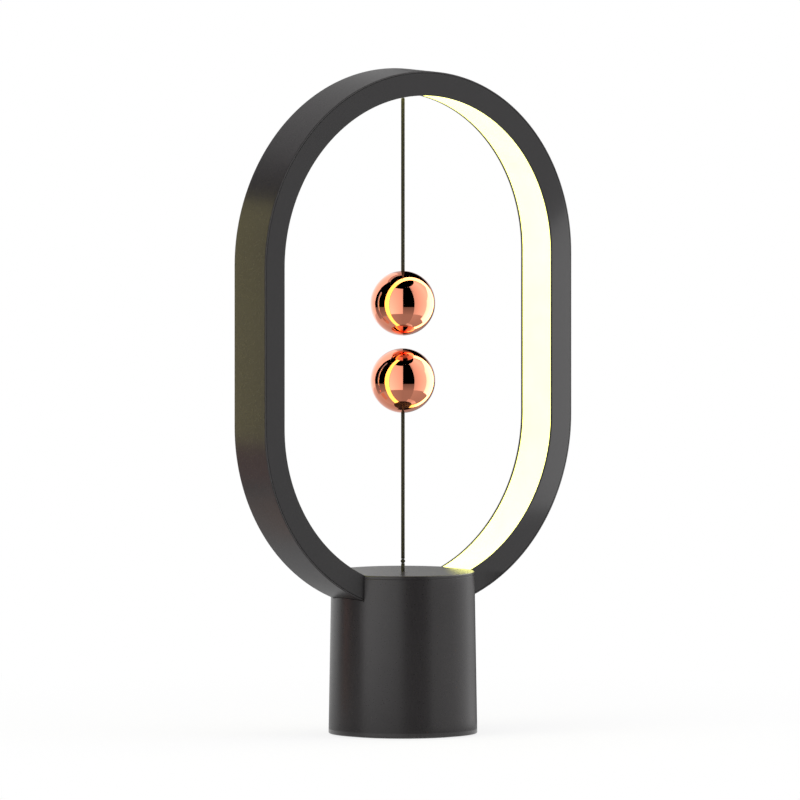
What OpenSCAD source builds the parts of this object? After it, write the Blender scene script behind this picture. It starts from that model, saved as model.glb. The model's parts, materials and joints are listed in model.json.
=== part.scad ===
// Magnetic balance lamp: an upright oval light ring stands on a round base, and two magnetic
// balls hang and stand on cords inside it. Lifting the lower ball until it floats under the
// upper one pulls its cord up, tips a rocker in the base and closes the switch.
// Millimetres. Origin: the middle of the foot, on the table. Front is -Y, up is +Z.
// Shown lit: the lower ball floats and its cord is pulled up.

/* [Ring] */
// Outer radius of the ring's round ends
ring_r = 66.35; // [65.5:0.05:68]
// Radial width of the ring
ring_w = 8.57; // [8.4:0.01:9.2]
// Depth of the ring, front to back
ring_d = 18.4; // [17.4:0.1:19.6]
// Length of the ring's straight sides
ring_straight = 56.8; // [50:0.1:64]
// How far the ring's inner edge lies below the base's top
ring_sink = 4.8; // [4.4:0.1:5.2]
// Thickness of the ring's outer band
band_t = 1.6; // [1.2:0.1:1.8]
// Thickness of the ring's front cover and rear wall
wall_t = 1.6; // [1.4:0.1:2]
// Edge of the front cover and rear wall that shows beside the diffuser
lip_t = 0.8; // [0.6:0.05:1]
// Rim of the outer band that shows round the front cover
cover_border = 0.5; // [0.4:0.05:0.8]

/* [Light] */
// Thickness of the opal diffuser
diffuser_t = 1.2; // [1:0.1:1.4]
// How far the diffuser lies back from the ring's inner edge
diffuser_recess = 0.2; // [0.1:0.05:0.4]
// Width of the light strip
strip_w = 8; // [5:0.5:10]
// Thickness of the light strip
strip_t = 0.25; // [0.2:0.05:0.4]
// Height of a light chip on the strip
chip_t = 0.7; // [0.5:0.1:0.9]
// Length and width of a light chip
chip_size = 2.8; // [2:0.1:3.5]
// Light chips in each half circle of the ring
arc_chips = 22; // [16:2:24]
// Light chips on each straight side of the ring
side_chips = 6; // [4:1:7]
// Light chips on each side below the straight part
lower_chips = 8; // [5:1:8]

/* [Base] */
// Radius of the base at its top
base_r_top = 25.11; // [24.9:0.01:26]
// How much wider that radius is at the bottom
base_draft = 0.97; // [0.7:0.01:1.4]
// Height of the base without the foot
base_h = 56.87; // [56:0.01:60]
// Wall thickness of the base shell
base_wall = 2; // [1.6:0.1:2.2]
// Width of the inner shoulder that the bridge meets
shoulder_w = 0.7; // [0.5:0.1:0.9]
// Height of the cap's rim that shows on the base
cap_rim_h = 1.2; // [1.1:0.1:1.5]
// Depth of the cap's spigot inside the shell
cap_spigot_h = 2; // [1.5:0.1:2.4]
// Bevel of the cap's top edge
cap_bevel = 0.4; // [0.2:0.1:0.6]
// How far the foot stands out below the shell
foot_proud = 0.4; // [0.3:0.1:0.8]
// Gap between the shell's wall and the rubber foot
foot_gap = 1.6; // [1:0.1:4]
// Depth that the cover lies above the shell's edge
cover_recess = 0.5; // [0.3:0.1:0.8]
// Thickness of the bottom cover
cover_t = 2.5; // [2.2:0.1:3]
// Gap between the ballast's ring and the posts of the cover screws
ballast_gap = 0.8; // [0.6:0.1:2]
// Thickness of the steel ballast
ballast_h = 8; // [6:0.1:9]

/* [Balls and cords] */
// Radius of a ball
ball_r = 11.3; // [11:0.1:12]
// Gap between the two balls
ball_gap = 4.6; // [3:0.1:6]
// Height of the middle of that gap above the base
gap_height = 80.53; // [78:0.01:83]
// Radius of the magnets
magnet_r = 6; // [5:0.1:6.2]
// Thickness of the magnets
magnet_h = 6; // [4:0.1:6.4]
// Thickness of the ball under its magnet
magnet_cover = 3.8; // [3.6:0.1:4.4]
// Diameter of the cords
cord_d = 1.3; // [1.2:0.05:1.4]
// Radius of the pin that the upper cord is tied to
anchor_pin_r = 0.8; // [0.7:0.05:0.9]

/* [Switch] */
// Height that the lower cord is pulled up
lift_travel = 2.5; // [2:0.1:2.8]
// Distance from the rocker's pin to the cord
arm_long = 10; // [9.5:0.1:10.5]
// Distance from the rocker's pin to the button
arm_short = 4; // [3.6:0.1:4.4]
// Thickness of the rocker
rocker_t = 1.6; // [1.4:0.1:2]
// Width of the rocker
rocker_w = 3.6; // [3.2:0.1:4]
// Radius of the rocker's pin
rocker_pin_r = 0.8; // [0.7:0.05:1]
// Height of the rocker's pin above the circuit board
rocker_rise = 11; // [10.8:0.1:11.6]
// Radius of the button
button_r = 1; // [0.9:0.05:1.2]
// Side of the switch body
switch_side = 6; // [5.8:0.1:6.4]
// Thickness of the bridge under the ring
bridge_t = 3; // [2.6:0.1:3.2]
// Thickness of the circuit board
board_t = 1.6; // [1.2:0.1:2]
// Height from the circuit board's underside to the bridge
board_room = 20.48; // [20.2:0.01:21]
// Radius of the screws
screw_r = 1; // [0.9:0.05:1.1]
// Radius of the screw heads
screw_head_r = 2; // [1.8:0.1:2.2]
// Height of the screw heads
screw_head_h = 1.5; // [1.2:0.1:1.6]

/* [Hidden] */
$fn = 96;

// Fits
fit = 0.1;         // between parts that are pushed or dropped together
touch = 0.02;      // between parts that rest on each other
run = 0.05;        // round a pin that turns
cut = 1;           // how far a cutter passes through a face

// Heights
base_z0 = foot_proud;
base_top = base_z0 + base_h;
seam_z = base_top - cap_rim_h;
cap_bottom = seam_z - cap_spigot_h;
ring_ri = ring_r - ring_w;
lower_c = base_top - ring_sink + ring_ri;
upper_c = lower_c + ring_straight;
ring_bottom = lower_c - ring_r;
bridge_top = ring_bottom - touch;
bridge_z = bridge_top - bridge_t;
cover_z = base_z0 + cover_recess;
cover_top = cover_z + cover_t;
board_z = bridge_z - board_room;
board_top = board_z + board_t;

// Ring
half_d = ring_d / 2;
band_ri = ring_r - band_t;
diff_ri = ring_ri + diffuser_recess;
diff_ro = diff_ri + diffuser_t;
diffuser_end_x = 13;   // the diffuser's ends, hidden under the cap
strip_end_x = 18;      // the strip's ends, hidden in the base
strip_ro = band_ri - touch;
strip_ri = strip_ro - strip_t;
chip_r = strip_ri - 0.03;

// Base
base_r_bottom = base_r_top + base_draft;
function shell_r(z) = base_r_bottom - base_draft * (z - base_z0) / base_h;
foot_r = base_r_bottom - base_wall - foot_gap;
upper_bore_r = shell_r(seam_z) - base_wall - shoulder_w;
lower_bore_r = shell_r(bridge_top) - base_wall;
bridge_r = lower_bore_r - 3 * fit;
cover_r = shell_r(cover_top) - base_wall - fit;
edge_bevel = 0.4;
post_r = 3;
post_gap = 0.85;       // between the posts and the shell's bore
post_ring_r = lower_bore_r - post_gap - post_r;    // the cover screws' distance from the middle
post_rise = 8;
post_top = board_top + post_rise;
web_w = 3;
boss_y = 16;           // the bridge screws' distance from the middle
boss_r = 3;
hole_r = screw_r + run;
screw_pass_r = screw_r + 0.3;
slot_l = 2.6;          // the cross slots of the screws
slot_w = 0.5;
slot_depth = 0.7;
cover_screw_l = 10;
bridge_bite = 8;       // how far a screw goes into what it holds
board_bite = 6;
rib_w = 1.2;
rib_h = 2;
ballast_r = post_ring_r - post_r - ballast_gap - rib_w - fit;
cord_pass_r = 2;       // the cord's hole in the ring
cord_clear = 0.7;      // round the cord in the bridge
wire_pass_r = 1.8;     // the leads' holes in the bridge and the ring

// Cords and balls
cord_r = cord_d / 2;
cord_bore_r = cord_r + fit;
joint_gap = 0.8;       // from a bend's middle to the cord's end
bend_r = 0.72;
pivot_drop = 0.8;      // the upper bend, below the diffuser
pivot_rise = 1;        // the lower bend above the cap, when the cord is let down
upper_pivot = upper_c + diff_ri - pivot_drop;
lower_pivot = base_top + pivot_rise + lift_travel;
gap_z = base_top + gap_height;
upper_ball_z = gap_z + ball_gap / 2 + ball_r;
lower_ball_z = gap_z - ball_gap / 2 - ball_r;
loop_r = anchor_pin_r + cord_r + run;
anchor_z = upper_c + diff_ro + loop_r + cord_r + 0.15;
anchor_boss_r = anchor_pin_r + 0.9;
anchor_boss_l = 3;
eyelet_r = 1.5;
guide_r = 1.8;
guide_flange_r = 2.8;
guide_flange_h = 1;
magnet_floor = magnet_cover - ball_r;          // the magnet's outer face, from the ball's middle
magnet_back = magnet_floor + magnet_h;
pocket_top = 4;
chamber_r = 2.4;
chamber_top = 6.5;
knot_r = 1.9;
knot_z = chamber_top - fit - knot_r;
tongue_r = 7.6;
tongue_w = 1.2;
tongue_h = 1.2;

// Switch
rocker_x = -arm_long;
button_x = rocker_x - arm_short;
rocker_z = board_top + rocker_rise;
tilt = asin(lift_travel / 2 / arm_long);
arm_face = rocker_t / 2 / cos(tilt);           // the rocker's middle to its face, measured upright
lift_half = arm_long * tan(tilt);
hub_r = rocker_pin_r + 1.4;
rocker_end_x = 2.3;
rocker_tail = 1.5;
cord_hole_r = cord_r + 0.65;
pull_knot_r = 1.7;
pull_knot_z = rocker_z + lift_half - arm_face - pull_knot_r - run;
button_top = rocker_z - (arm_short + button_r) * tan(tilt) - arm_face - 0.06;
button_l = 5.5;
button_flange_r = button_r + 0.8;
button_flange_h = 1;
switch_top = button_top - 1.5;
switch_lid = 1;
switch_floor = 2.5;
ear_w = 6;
ear_t = 2;
ear_gap = 0.4;
ear_y = rocker_w / 2 + ear_gap;
ear_drop = 2.3;
spring_r = 2.1;
spring_wire = 0.5;
spring_turns = 5;
spring_low = rocker_z + lift_half + arm_face + (spring_r + spring_wire) * tan(tilt) + fit;
spring_high = bridge_z - run;

// Board
board_side = 6.35;     // from the board's end to the shell's bore
board_corner = 3.5;    // from the board's edge to the middle of the cover screws
board_x = lower_bore_r - board_side;
board_y = post_ring_r * sin(45) - board_corner;
board_tab_x = 6;
board_post_in = [4.5, 2.3];        // from the board's corner to the middle of its post
board_post = [board_x - board_post_in.x, board_y - board_post_in.y];
board_post_r = 2.2;
wire_in = 5;           // from the board's end to the leads
wire_at = [board_x - wire_in, -4];
wire_r = 0.5;
wire_gap = 1.6;
connector = [5, 5, 5];
terminal_r = 0.35;
terminal_pitch = 2;
usb_half_w = 4.47;
usb_half_h = 1.63;
usb_wall = 0.32;
usb_l = 7.4;
usb_tongue_t = 0.7;
usb_z = board_top + usb_half_h;
usb_inset = 0.6;       // from the shell's outside to the socket's mouth
usb_clear = 0.2;       // round the socket in the shell
usb_mouth = shell_r(usb_z) - usb_inset;
usb_back = 1;          // thickness of the socket's back
tongue_half_w = 3.35;
tab_in = 2.7;          // from the socket's mouth to the board's end
board_tab_y = usb_mouth - tab_in;
capacitor = [2, 4.6];              // radius and height
capacitor_at = [5.5, -7];
coil = [2.6, 3];                   // radius and height
coil_at = [6, 4];
driver = [5, 4, 1.4];
driver_at = [-4, -8.5];
charger = [6, 2.6, 1.6];
charger_at = [-5, 4.5];
resistor = [1.6, 0.9, 0.6];
resistor_at = [-6, 8.4];
resistor_pitch = 2.4;

// Routes of the two free cords, along their middles, upwards or downwards from the bend
upper_route = [
    [0, 0, 223.4], [0, 0, 222], [0, 0, 219], [0, 0, 216], [0, 0, 213], [0, 0, 210],
    [0, 0, 207], [0, 0, 204], [0, 0, 201], [0, 0, 198], [0, 0, 195], [0, 0, 192],
    [0, 0, 189], [0, 0, 186], [0, 0, 183], [0, 0, 180], [0, 0, 177], [0, 0, 174],
    [0, 0, 171], [0, 0, 168], [0, 0, 165], [0, 0, 162], [0, 0, 159], [0, 0, 156.2],
];
lower_route = [
    [0, 0, 61.6], [0, 0, 63], [0, 0, 66], [0, 0, 69], [0, 0, 72], [0, 0, 75],
    [0, 0, 78], [0, 0, 81], [0, 0, 84], [0, 0, 87], [0, 0, 90], [0, 0, 93],
    [0, 0, 96], [0, 0, 99], [0, 0, 102], [0, 0, 105], [0, 0, 108], [0, 0, 111],
    [0, 0, 114], [0, 0, 117], [0, 0, 119.4],
];
// Route of one lead: straight up from its connector, through the bridge, then round a quarter of
// an ellipse to the end of the light strip
wire_low = board_top + connector.z;
wire_high = bridge_top + 1.1;
wire_end = lower_c - sqrt(pow(strip_ri, 2) - pow(strip_end_x, 2)) + 2 * wire_r;
wire_route = [
    for (i = [0:4]) [wire_at.x, 0, wire_low + (wire_high - wire_low) * i / 5],
    for (a = [0:15:90])
        [strip_end_x - (strip_end_x - wire_at.x) * cos(a), 0, wire_high + (wire_end - wire_high) * sin(a)],
];

black = "#3b3a39";
soft_black = "#484745";
dark_metal = "#5a5a5c";
steel = "#b9bcc0";
copper = "#d98a6a";
cord_green = "#54523f";

// --- Shared shapes ---------------------------------------------------------------------

// Outline of the ring, seen from the front, at one radius
module outline(r) {
    translate([0, lower_c]) circle(r);
    translate([0, upper_c]) circle(r);
    translate([-r, lower_c]) square([2 * r, ring_straight]);
}

// Solid oval plate of one radius, from y0 back to y1
module plate(r, y0, y1) {
    translate([0, y1, 0]) rotate([90, 0, 0]) linear_extrude(y1 - y0) outline(r);
}

// Cylinder along the Y axis, from y0 to y1, at x and z
module rod_y(r, x, z, y0, y1) {
    translate([x, y1, z]) rotate([90, 0, 0]) cylinder(r = r, h = y1 - y0);
}

// Ring of rectangular section round the Z axis
module tube(r_in, r_out, z0, z1) {
    translate([0, 0, z0]) difference() {
        cylinder(r = r_out, h = z1 - z0);
        translate([0, 0, -cut]) cylinder(r = r_in, h = z1 - z0 + 2 * cut);
    }
}

// Screw standing on its head: head from -screw_head_h to 0, shank up from 0
module screw(length) {
    difference() {
        union() {
            translate([0, 0, -screw_head_h]) cylinder(r = screw_head_r, h = screw_head_h);
            cylinder(r = screw_r, h = length);
        }
        for (a = [0, 90]) rotate([0, 0, a]) translate([-slot_l / 2, -slot_w / 2, -screw_head_h - cut])
            cube([slot_l, slot_w, cut + slot_depth]);
    }
}

// Places children at the four cover posts
module at_posts() {
    for (a = [45:90:315]) rotate([0, 0, a]) translate([post_ring_r, 0, 0]) children();
}

// Places children at the two board posts
module at_board_posts() {
    for (s = [-1, 1]) translate([s * board_post.x, s * board_post.y, 0]) children();
}

// Flat oval of a socket, seen along Y, grown by g
module usb_oval(g) {
    flat = usb_half_w - usb_half_h;
    for (s = [-1, 1]) translate([s * flat, 0]) circle(usb_half_h + g);
    square([2 * flat, 2 * (usb_half_h + g)], center = true);
}

// Direction of the route at point i, as the mean of the steps on either side
function route_dir(p, i) =
    let (d = p[min(i + 1, len(p) - 1)] - p[max(i - 1, 0)]) d / norm(d);

// One ring of points round route point i; e is a direction never along the route
function route_ring(p, i, r, sides, e) =
    let (t = route_dir(p, i), u = cross(t, e) / norm(cross(t, e)), v = cross(t, u))
    [for (k = [0:sides - 1]) p[i] + r * (cos(360 * k / sides) * u + sin(360 * k / sides) * v)];

// Round tube swept along a route, with flat ends
module sweep(p, r, sides, e = [0, 1, 0]) {
    n = len(p);
    points = [for (i = [0:n - 1]) each route_ring(p, i, r, sides, e)];
    walls = [
        for (i = [0:n - 2], k = [0:sides - 1])
            let (a = i * sides + k, b = i * sides + (k + 1) % sides)
            each [[a, b, b + sides], [a, b + sides, a + sides]]
    ];
    start = [for (k = [1:sides - 2]) [0, k + 1, k]];
    last = (n - 1) * sides;
    end = [for (k = [1:sides - 2]) [last, last + k, last + k + 1]];
    polyhedron(points = points, faces = concat(walls, start, end));
}

// --- Ring ------------------------------------------------------------------------------

module ring_channel() color(black) difference() {
    union() {
        difference() {
            plate(ring_r, -half_d, half_d);
            plate(ring_r - cover_border, -half_d - cut, wall_t - half_d);
            plate(band_ri, -half_d - cut, half_d - wall_t);
            plate(diff_ro + fit, 0, half_d - lip_t);
            plate(ring_ri, 0, half_d + cut);
        }
        rod_y(anchor_boss_r, 0, anchor_z, half_d - wall_t - anchor_boss_l, half_d - lip_t);
    }
    rod_y(anchor_pin_r + touch, 0, anchor_z, 0, half_d - wall_t);
    translate([0, 0, ring_bottom - cut]) cylinder(r = cord_pass_r, h = band_t + 2 * cut);
    translate([wire_at.x, wire_at.y, ring_bottom - cut]) cylinder(r = wire_pass_r, h = band_t + 4 * cut);
}

module front_cover() color(soft_black) difference() {
    plate(ring_r - cover_border - fit, -half_d, wall_t - half_d);
    plate(ring_ri, -half_d - cut, 0);
    plate(diff_ro + fit, lip_t - half_d, 0);
}

module diffuser() color("#fffdf0") difference() {
    plate(diff_ro, lip_t - half_d + run, half_d - lip_t - run);
    plate(diff_ri, -half_d, half_d);
    translate([-diffuser_end_x, -half_d, ring_bottom]) cube([2 * diffuser_end_x, ring_d, ring_r / 2]);
    translate([0, 0, upper_c]) cylinder(r = eyelet_r + touch, h = ring_r);
}

module led_strip() color("#e9e6da") difference() {
    plate(strip_ro, -strip_w / 2, strip_w / 2);
    plate(strip_ri, -strip_w, strip_w);
    translate([-strip_end_x, -strip_w, ring_bottom]) cube([2 * strip_end_x, 2 * strip_w, ring_r / 2]);
}

// One light chip at an angle from the +X side, round the centre at height zc
module led_chip(zc, angle) {
    translate([0, 0, zc]) rotate([0, -angle, 0])
        translate([chip_r - chip_t, -chip_size / 2, -chip_size / 2])
            cube([chip_t, chip_size, chip_size]);
}

module led_chips() color("#f4e27a") {
    step = 180 / arc_chips;
    for (i = [0:arc_chips - 1]) led_chip(upper_c, (i + 0.5) * step);
    for (a = [0, 180], i = [0:side_chips - 1])
        led_chip(lower_c + (i + 0.5) * ring_straight / side_chips, a);
    for (i = [0:lower_chips - 1]) {
        led_chip(lower_c, -(i + 0.5) * step);
        led_chip(lower_c, 180 + (i + 0.5) * step);
    }
}

module upper_anchor_pin() color(steel)
    rod_y(anchor_pin_r, 0, anchor_z, wall_t - half_d + fit, half_d - wall_t - touch);

module upper_cord_tail() color(cord_green) {
    translate([0, 0, anchor_z]) rotate([90, 0, 0])
        rotate_extrude() translate([loop_r, 0]) circle(cord_r, $fn = 32);
    translate([0, 0, upper_pivot + joint_gap])
        cylinder(r = cord_r, h = anchor_z - loop_r - upper_pivot - joint_gap);
}

module upper_eyelet() color(soft_black)
    tube(cord_r + run, eyelet_r, upper_c + diff_ri, upper_c + diff_ro - touch);

// --- Base ------------------------------------------------------------------------------

module base_shell() color(black) difference() {
    union() {
        rotate_extrude() polygon([
            [base_r_bottom - edge_bevel, base_z0], [shell_r(base_z0 + edge_bevel), base_z0 + edge_bevel],
            [shell_r(seam_z), seam_z], [upper_bore_r, seam_z],
            [upper_bore_r, bridge_top + touch], [lower_bore_r, bridge_top + touch],
            [shell_r(base_z0) - base_wall, base_z0],
        ]);
        at_posts() {
            translate([0, 0, cover_top]) cylinder(r = post_r, h = post_top - cover_top);
            post_web();
        }
    }
    plate(ring_r + fit, -half_d - fit, half_d + fit);
    translate([0, 0, cover_top - cut]) at_posts() cylinder(r = hole_r, h = cover_screw_l + 2 * cut);
    translate([0, base_r_bottom + cut, usb_z]) rotate([90, 0, 0])
        linear_extrude(base_r_bottom + cut - board_tab_y) usb_oval(usb_clear);
}

// Web from a post into the middle of the shell's wall
module post_web() {
    wall_x = [for (z = [cover_top, post_top]) shell_r(z) - base_wall / 2 - post_ring_r];
    translate([0, web_w / 2, 0]) rotate([90, 0, 0]) linear_extrude(web_w)
        polygon([[0, cover_top], [wall_x[0], cover_top], [wall_x[1], post_top], [0, post_top]]);
}

module top_cap() color(black) difference() {
    union() {
        rotate_extrude() polygon([
            [0, cap_bottom], [upper_bore_r - fit, cap_bottom], [upper_bore_r - fit, seam_z],
            [shell_r(seam_z), seam_z], [base_r_top, base_top - cap_bevel],
            [base_r_top - cap_bevel, base_top], [0, base_top],
        ]);
        for (s = [-1, 1]) translate([0, s * boss_y, bridge_top + touch])
            cylinder(r = boss_r, h = seam_z - bridge_top - touch);
    }
    difference() {
        translate([-ring_r, -half_d - fit, ring_bottom]) cube([2 * ring_r, ring_d + 2 * fit, base_top]);
        plate(ring_ri - fit, -half_d - cut, half_d + cut);
    }
    for (s = [-1, 1]) translate([0, s * boss_y, bridge_top - cut])
        cylinder(r = hole_r, h = bridge_bite + 3 * cut);
    translate([0, 0, cap_bottom - cut]) cylinder(r = guide_r + touch, h = base_top);
}

module cord_guide() color(black) {
    tube(cord_bore_r, guide_r, cap_bottom - touch, base_top);
    tube(cord_bore_r, guide_flange_r, cap_bottom - touch - guide_flange_h, cap_bottom - touch);
}

module ring_bridge() color(soft_black) difference() {
    union() {
        translate([0, 0, bridge_z]) cylinder(r = bridge_r, h = bridge_t);
        for (s = [-1, 1]) translate([rocker_x - ear_w / 2, s * (ear_y + ear_t / 2) - ear_t / 2, 0])
            translate([0, 0, rocker_z - ear_drop]) cube([ear_w, ear_t, bridge_top - cut - rocker_z + ear_drop]);
        at_board_posts() translate([0, 0, board_top])
            cylinder(r = board_post_r, h = bridge_top - cut - board_top);
    }
    rod_y(rocker_pin_r + touch, rocker_x, rocker_z, -board_y, board_y);
    translate([0, 0, bridge_z - cut]) {
        cylinder(r = cord_r + cord_clear, h = bridge_t + 2 * cut);
        translate([wire_at.x, wire_at.y, 0]) cylinder(r = wire_pass_r, h = bridge_t + 2 * cut);
        for (s = [-1, 1]) translate([0, s * boss_y, 0]) cylinder(r = screw_pass_r, h = bridge_t + 2 * cut);
        at_posts() {
            cylinder(r = post_r + 3 * fit, h = bridge_t + 2 * cut);
            translate([0, -post_r + web_w / 4, 0]) cube([post_r * 2, 2 * post_r - web_w / 2, bridge_t + 2 * cut]);
        }
    }
    at_board_posts() translate([0, 0, board_top - cut]) cylinder(r = hole_r, h = board_bite + 3 * cut);
}

module bridge_screws() color(steel)
    for (s = [-1, 1]) translate([0, s * boss_y, bridge_z - touch]) screw(bridge_t + bridge_bite);

module bottom_cover() color(soft_black) difference() {
    union() {
        translate([0, 0, cover_z]) cylinder(r = cover_r, h = cover_t - touch);
        tube(ballast_r + fit, ballast_r + fit + rib_w, cover_top - cut, cover_top + rib_h);
    }
    translate([0, 0, cover_z]) {
        at_posts() cover_screw_hole();
        cover_screw_hole();
    }
}

module cover_screw_hole() {
    translate([0, 0, -cut]) cylinder(r = screw_head_r + fit, h = cut + screw_head_h + touch);
    cylinder(r = screw_pass_r, h = cover_t + cut);
}

module cover_screws() color(steel)
    at_posts() translate([0, 0, cover_z + screw_head_h]) screw(cover_screw_l);

module ballast() color(dark_metal) tube(hole_r, ballast_r, cover_top, cover_top + ballast_h);

module ballast_screw() color(steel)
    translate([0, 0, cover_z + screw_head_h]) screw(cover_t - screw_head_h + ballast_h - cut);

module foot_pad() color("#2c2b2a") rotate_extrude() polygon([
    [0, 0], [foot_r - cover_recess, 0], [foot_r, cover_recess],
    [foot_r, cover_z - touch], [0, cover_z - touch],
]);

// --- Circuit ---------------------------------------------------------------------------

module main_board() color("#2f5a3a") difference() {
    union() {
        translate([-board_x, -board_y, board_z]) cube([2 * board_x, 2 * board_y, board_t - touch]);
        translate([-board_tab_x, 0, board_z]) cube([2 * board_tab_x, board_tab_y, board_t - touch]);
    }
    translate([0, 0, board_z - cut]) {
        at_board_posts() cylinder(r = screw_pass_r, h = board_t + 2 * cut);
        at_terminals() cylinder(r = terminal_r + run, h = board_t + 2 * cut);
    }
}

module board_screws() color(steel)
    at_board_posts() translate([0, 0, board_z - touch]) screw(board_t + board_bite);

// Places children at the switch's three terminals
module at_terminals() {
    for (i = [-1:1]) translate([button_x, i * terminal_pitch, 0]) children();
}

module board_parts() color("#26262a") translate([0, 0, board_top]) {
    translate(capacitor_at) cylinder(r = capacitor[0], h = capacitor[1]);
    translate(coil_at) cylinder(r = coil[0], h = coil[1]);
    translate(driver_at) cube(driver);
    translate(charger_at) cube(charger);
    for (i = [0:3]) translate([resistor_at.x + resistor_pitch * i, resistor_at.y]) cube(resistor);
}

module wire_connector() color("#e6e2d6")
    translate([wire_at.x - connector.x / 2, wire_at.y - connector.y / 2, board_top])
        cube([connector.x, connector.y, connector.z - touch]);

module led_wires() color("#a03028")
    for (s = [-1, 1]) translate([0, wire_at.y + s * wire_gap / 2, 0]) sweep(wire_route, wire_r, 8);

module usb_socket() color(steel) translate([0, usb_mouth, usb_z]) rotate([90, 0, 0]) difference() {
    linear_extrude(usb_l) usb_oval(0);
    translate([0, 0, -cut]) linear_extrude(usb_l + cut - usb_back) usb_oval(-usb_wall);
}

module usb_tongue() color("#202022")
    translate([-tongue_half_w, usb_mouth - usb_l + usb_back + touch, usb_z - usb_tongue_t / 2])
        cube([2 * tongue_half_w, usb_l - usb_back - usb_wall, usb_tongue_t]);

// --- Switch ----------------------------------------------------------------------------

module switch_body() color("#1f1f22") difference() {
    translate([button_x - switch_side / 2, -switch_side / 2, board_top])
        cube([switch_side, switch_side, switch_top - board_top]);
    translate([button_x, 0, board_top + switch_floor])
        cylinder(r = button_flange_r + fit, h = switch_top - board_top - switch_floor - switch_lid);
    translate([button_x, 0, switch_top - switch_lid - cut]) cylinder(r = button_r + fit, h = 3 * cut);
}

module switch_terminals() color("#c9b46a")
    at_terminals() translate([0, 0, board_z - 1]) cylinder(r = terminal_r, h = board_t + 1 - touch);

module switch_button() color("#d8d4c8") translate([button_x, 0, button_top - button_l]) {
    cylinder(r = button_r, h = button_l);
    cylinder(r = button_flange_r, h = button_flange_h);
}

module switch_rocker() color("#cfccc4")
    translate([rocker_x, 0, rocker_z]) rotate([0, -tilt, 0]) difference() {
        union() {
            translate([-arm_short - rocker_tail, -rocker_w / 2, -rocker_t / 2])
                cube([arm_short + rocker_tail + arm_long + rocker_end_x, rocker_w, rocker_t]);
            rod_y(hub_r, 0, 0, -rocker_w / 2, rocker_w / 2);
        }
        rod_y(rocker_pin_r + run, 0, 0, -rocker_w, rocker_w);
        translate([arm_long, 0, -rocker_t]) cylinder(r = cord_hole_r, h = 2 * rocker_t);
    }

module rocker_pin() color(steel)
    rod_y(rocker_pin_r, rocker_x, rocker_z, -ear_y - ear_t - 0.3, ear_y + ear_t + 0.3);

// Coil of one unbroken wire, closed up to a flat half turn at each end
module return_spring() color(steel) {
    steps = 12;
    rise = spring_high - spring_low - spring_wire;
    coil = [
        for (i = [0:steps * (spring_turns + 1)])
            let (turn = i / steps, t = min(max(turn - 0.5, 0), spring_turns) / spring_turns)
            [spring_r * cos(360 * turn), spring_r * sin(360 * turn), spring_low + spring_wire / 2 + rise * t]
    ];
    sweep(coil, spring_wire / 2, 6, [0, 0, 1]);
}

module pull_cord() color(cord_green) {
    translate([0, 0, pull_knot_z]) cylinder(r = cord_r, h = lower_pivot - joint_gap - pull_knot_z);
    translate([0, 0, pull_knot_z]) sphere(pull_knot_r);
}

// --- Balls and free cords --------------------------------------------------------------
// A ball is drawn round its own middle with the cord going up and the magnet below.

module cord_knot() color(cord_green) difference() {
    translate([0, 0, knot_z]) sphere(knot_r);
    translate([0, 0, knot_z]) cylinder(r = cord_r + touch, h = ball_r);
}

module ball_cord_half() color(copper) difference() {
    sphere(ball_r);
    translate([-ball_r, -ball_r, -2 * ball_r]) cube(2 * ball_r);
    translate([0, 0, -cut]) cylinder(r = magnet_r + fit, h = pocket_top + cut);
    cylinder(r = chamber_r, h = chamber_top);
    cylinder(r = cord_bore_r, h = ball_r + cut);
    tube(tongue_r - fit, tongue_r + tongue_w + fit, -cut, tongue_h + fit);
}

module ball_magnet_half() color(copper) {
    difference() {
        sphere(ball_r);
        translate([-ball_r, -ball_r, 0]) cube(2 * ball_r);
        translate([0, 0, magnet_floor]) cylinder(r = magnet_r + fit, h = ball_r);
    }
    tube(tongue_r, tongue_r + tongue_w, -cut, tongue_h);
}

module magnet() color(steel)
    translate([0, 0, magnet_floor + touch]) cylinder(r = magnet_r, h = magnet_h - 2 * touch);

module magnet_seat() color("#e8e5da") tube(chamber_r, magnet_r, magnet_back, pocket_top - touch);

module at_upper_ball() {
    translate([0, 0, upper_ball_z]) children();
}

module at_lower_ball() {
    translate([0, 0, lower_ball_z]) mirror([0, 0, 1]) children();
}

module cord_bend(z) color(cord_green) translate([0, 0, z]) sphere(bend_r, $fn = 32);

module free_cord(route) color(cord_green) sweep(route, cord_r, 8);

// --- Assembly --------------------------------------------------------------------------

ring_channel();
front_cover();
diffuser();
led_strip();
led_chips();
upper_anchor_pin();
upper_cord_tail();
upper_eyelet();
base_shell();
top_cap();
cord_guide();
ring_bridge();
bridge_screws();
bottom_cover();
cover_screws();
ballast();
ballast_screw();
foot_pad();
main_board();
board_screws();
board_parts();
wire_connector();
led_wires();
usb_socket();
usb_tongue();
switch_body();
switch_terminals();
rocker_pin();
return_spring();
switch_rocker();
switch_button();
pull_cord();
cord_bend(upper_pivot);  // upper_cord_bend
free_cord(upper_route);  // upper_cord
at_upper_ball() cord_knot();  // upper_cord_knot
at_upper_ball() ball_cord_half();  // upper_ball_cord_half
at_upper_ball() ball_magnet_half();  // upper_ball_magnet_half
at_upper_ball() magnet();  // upper_magnet
at_upper_ball() magnet_seat();  // upper_magnet_seat
cord_bend(lower_pivot);  // lower_cord_bend
free_cord(lower_route);  // lower_cord
at_lower_ball() cord_knot();  // lower_cord_knot
at_lower_ball() ball_cord_half();  // lower_ball_cord_half
at_lower_ball() ball_magnet_half();  // lower_ball_magnet_half
at_lower_ball() magnet();  // lower_magnet
at_lower_ball() magnet_seat();  // lower_magnet_seat
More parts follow.
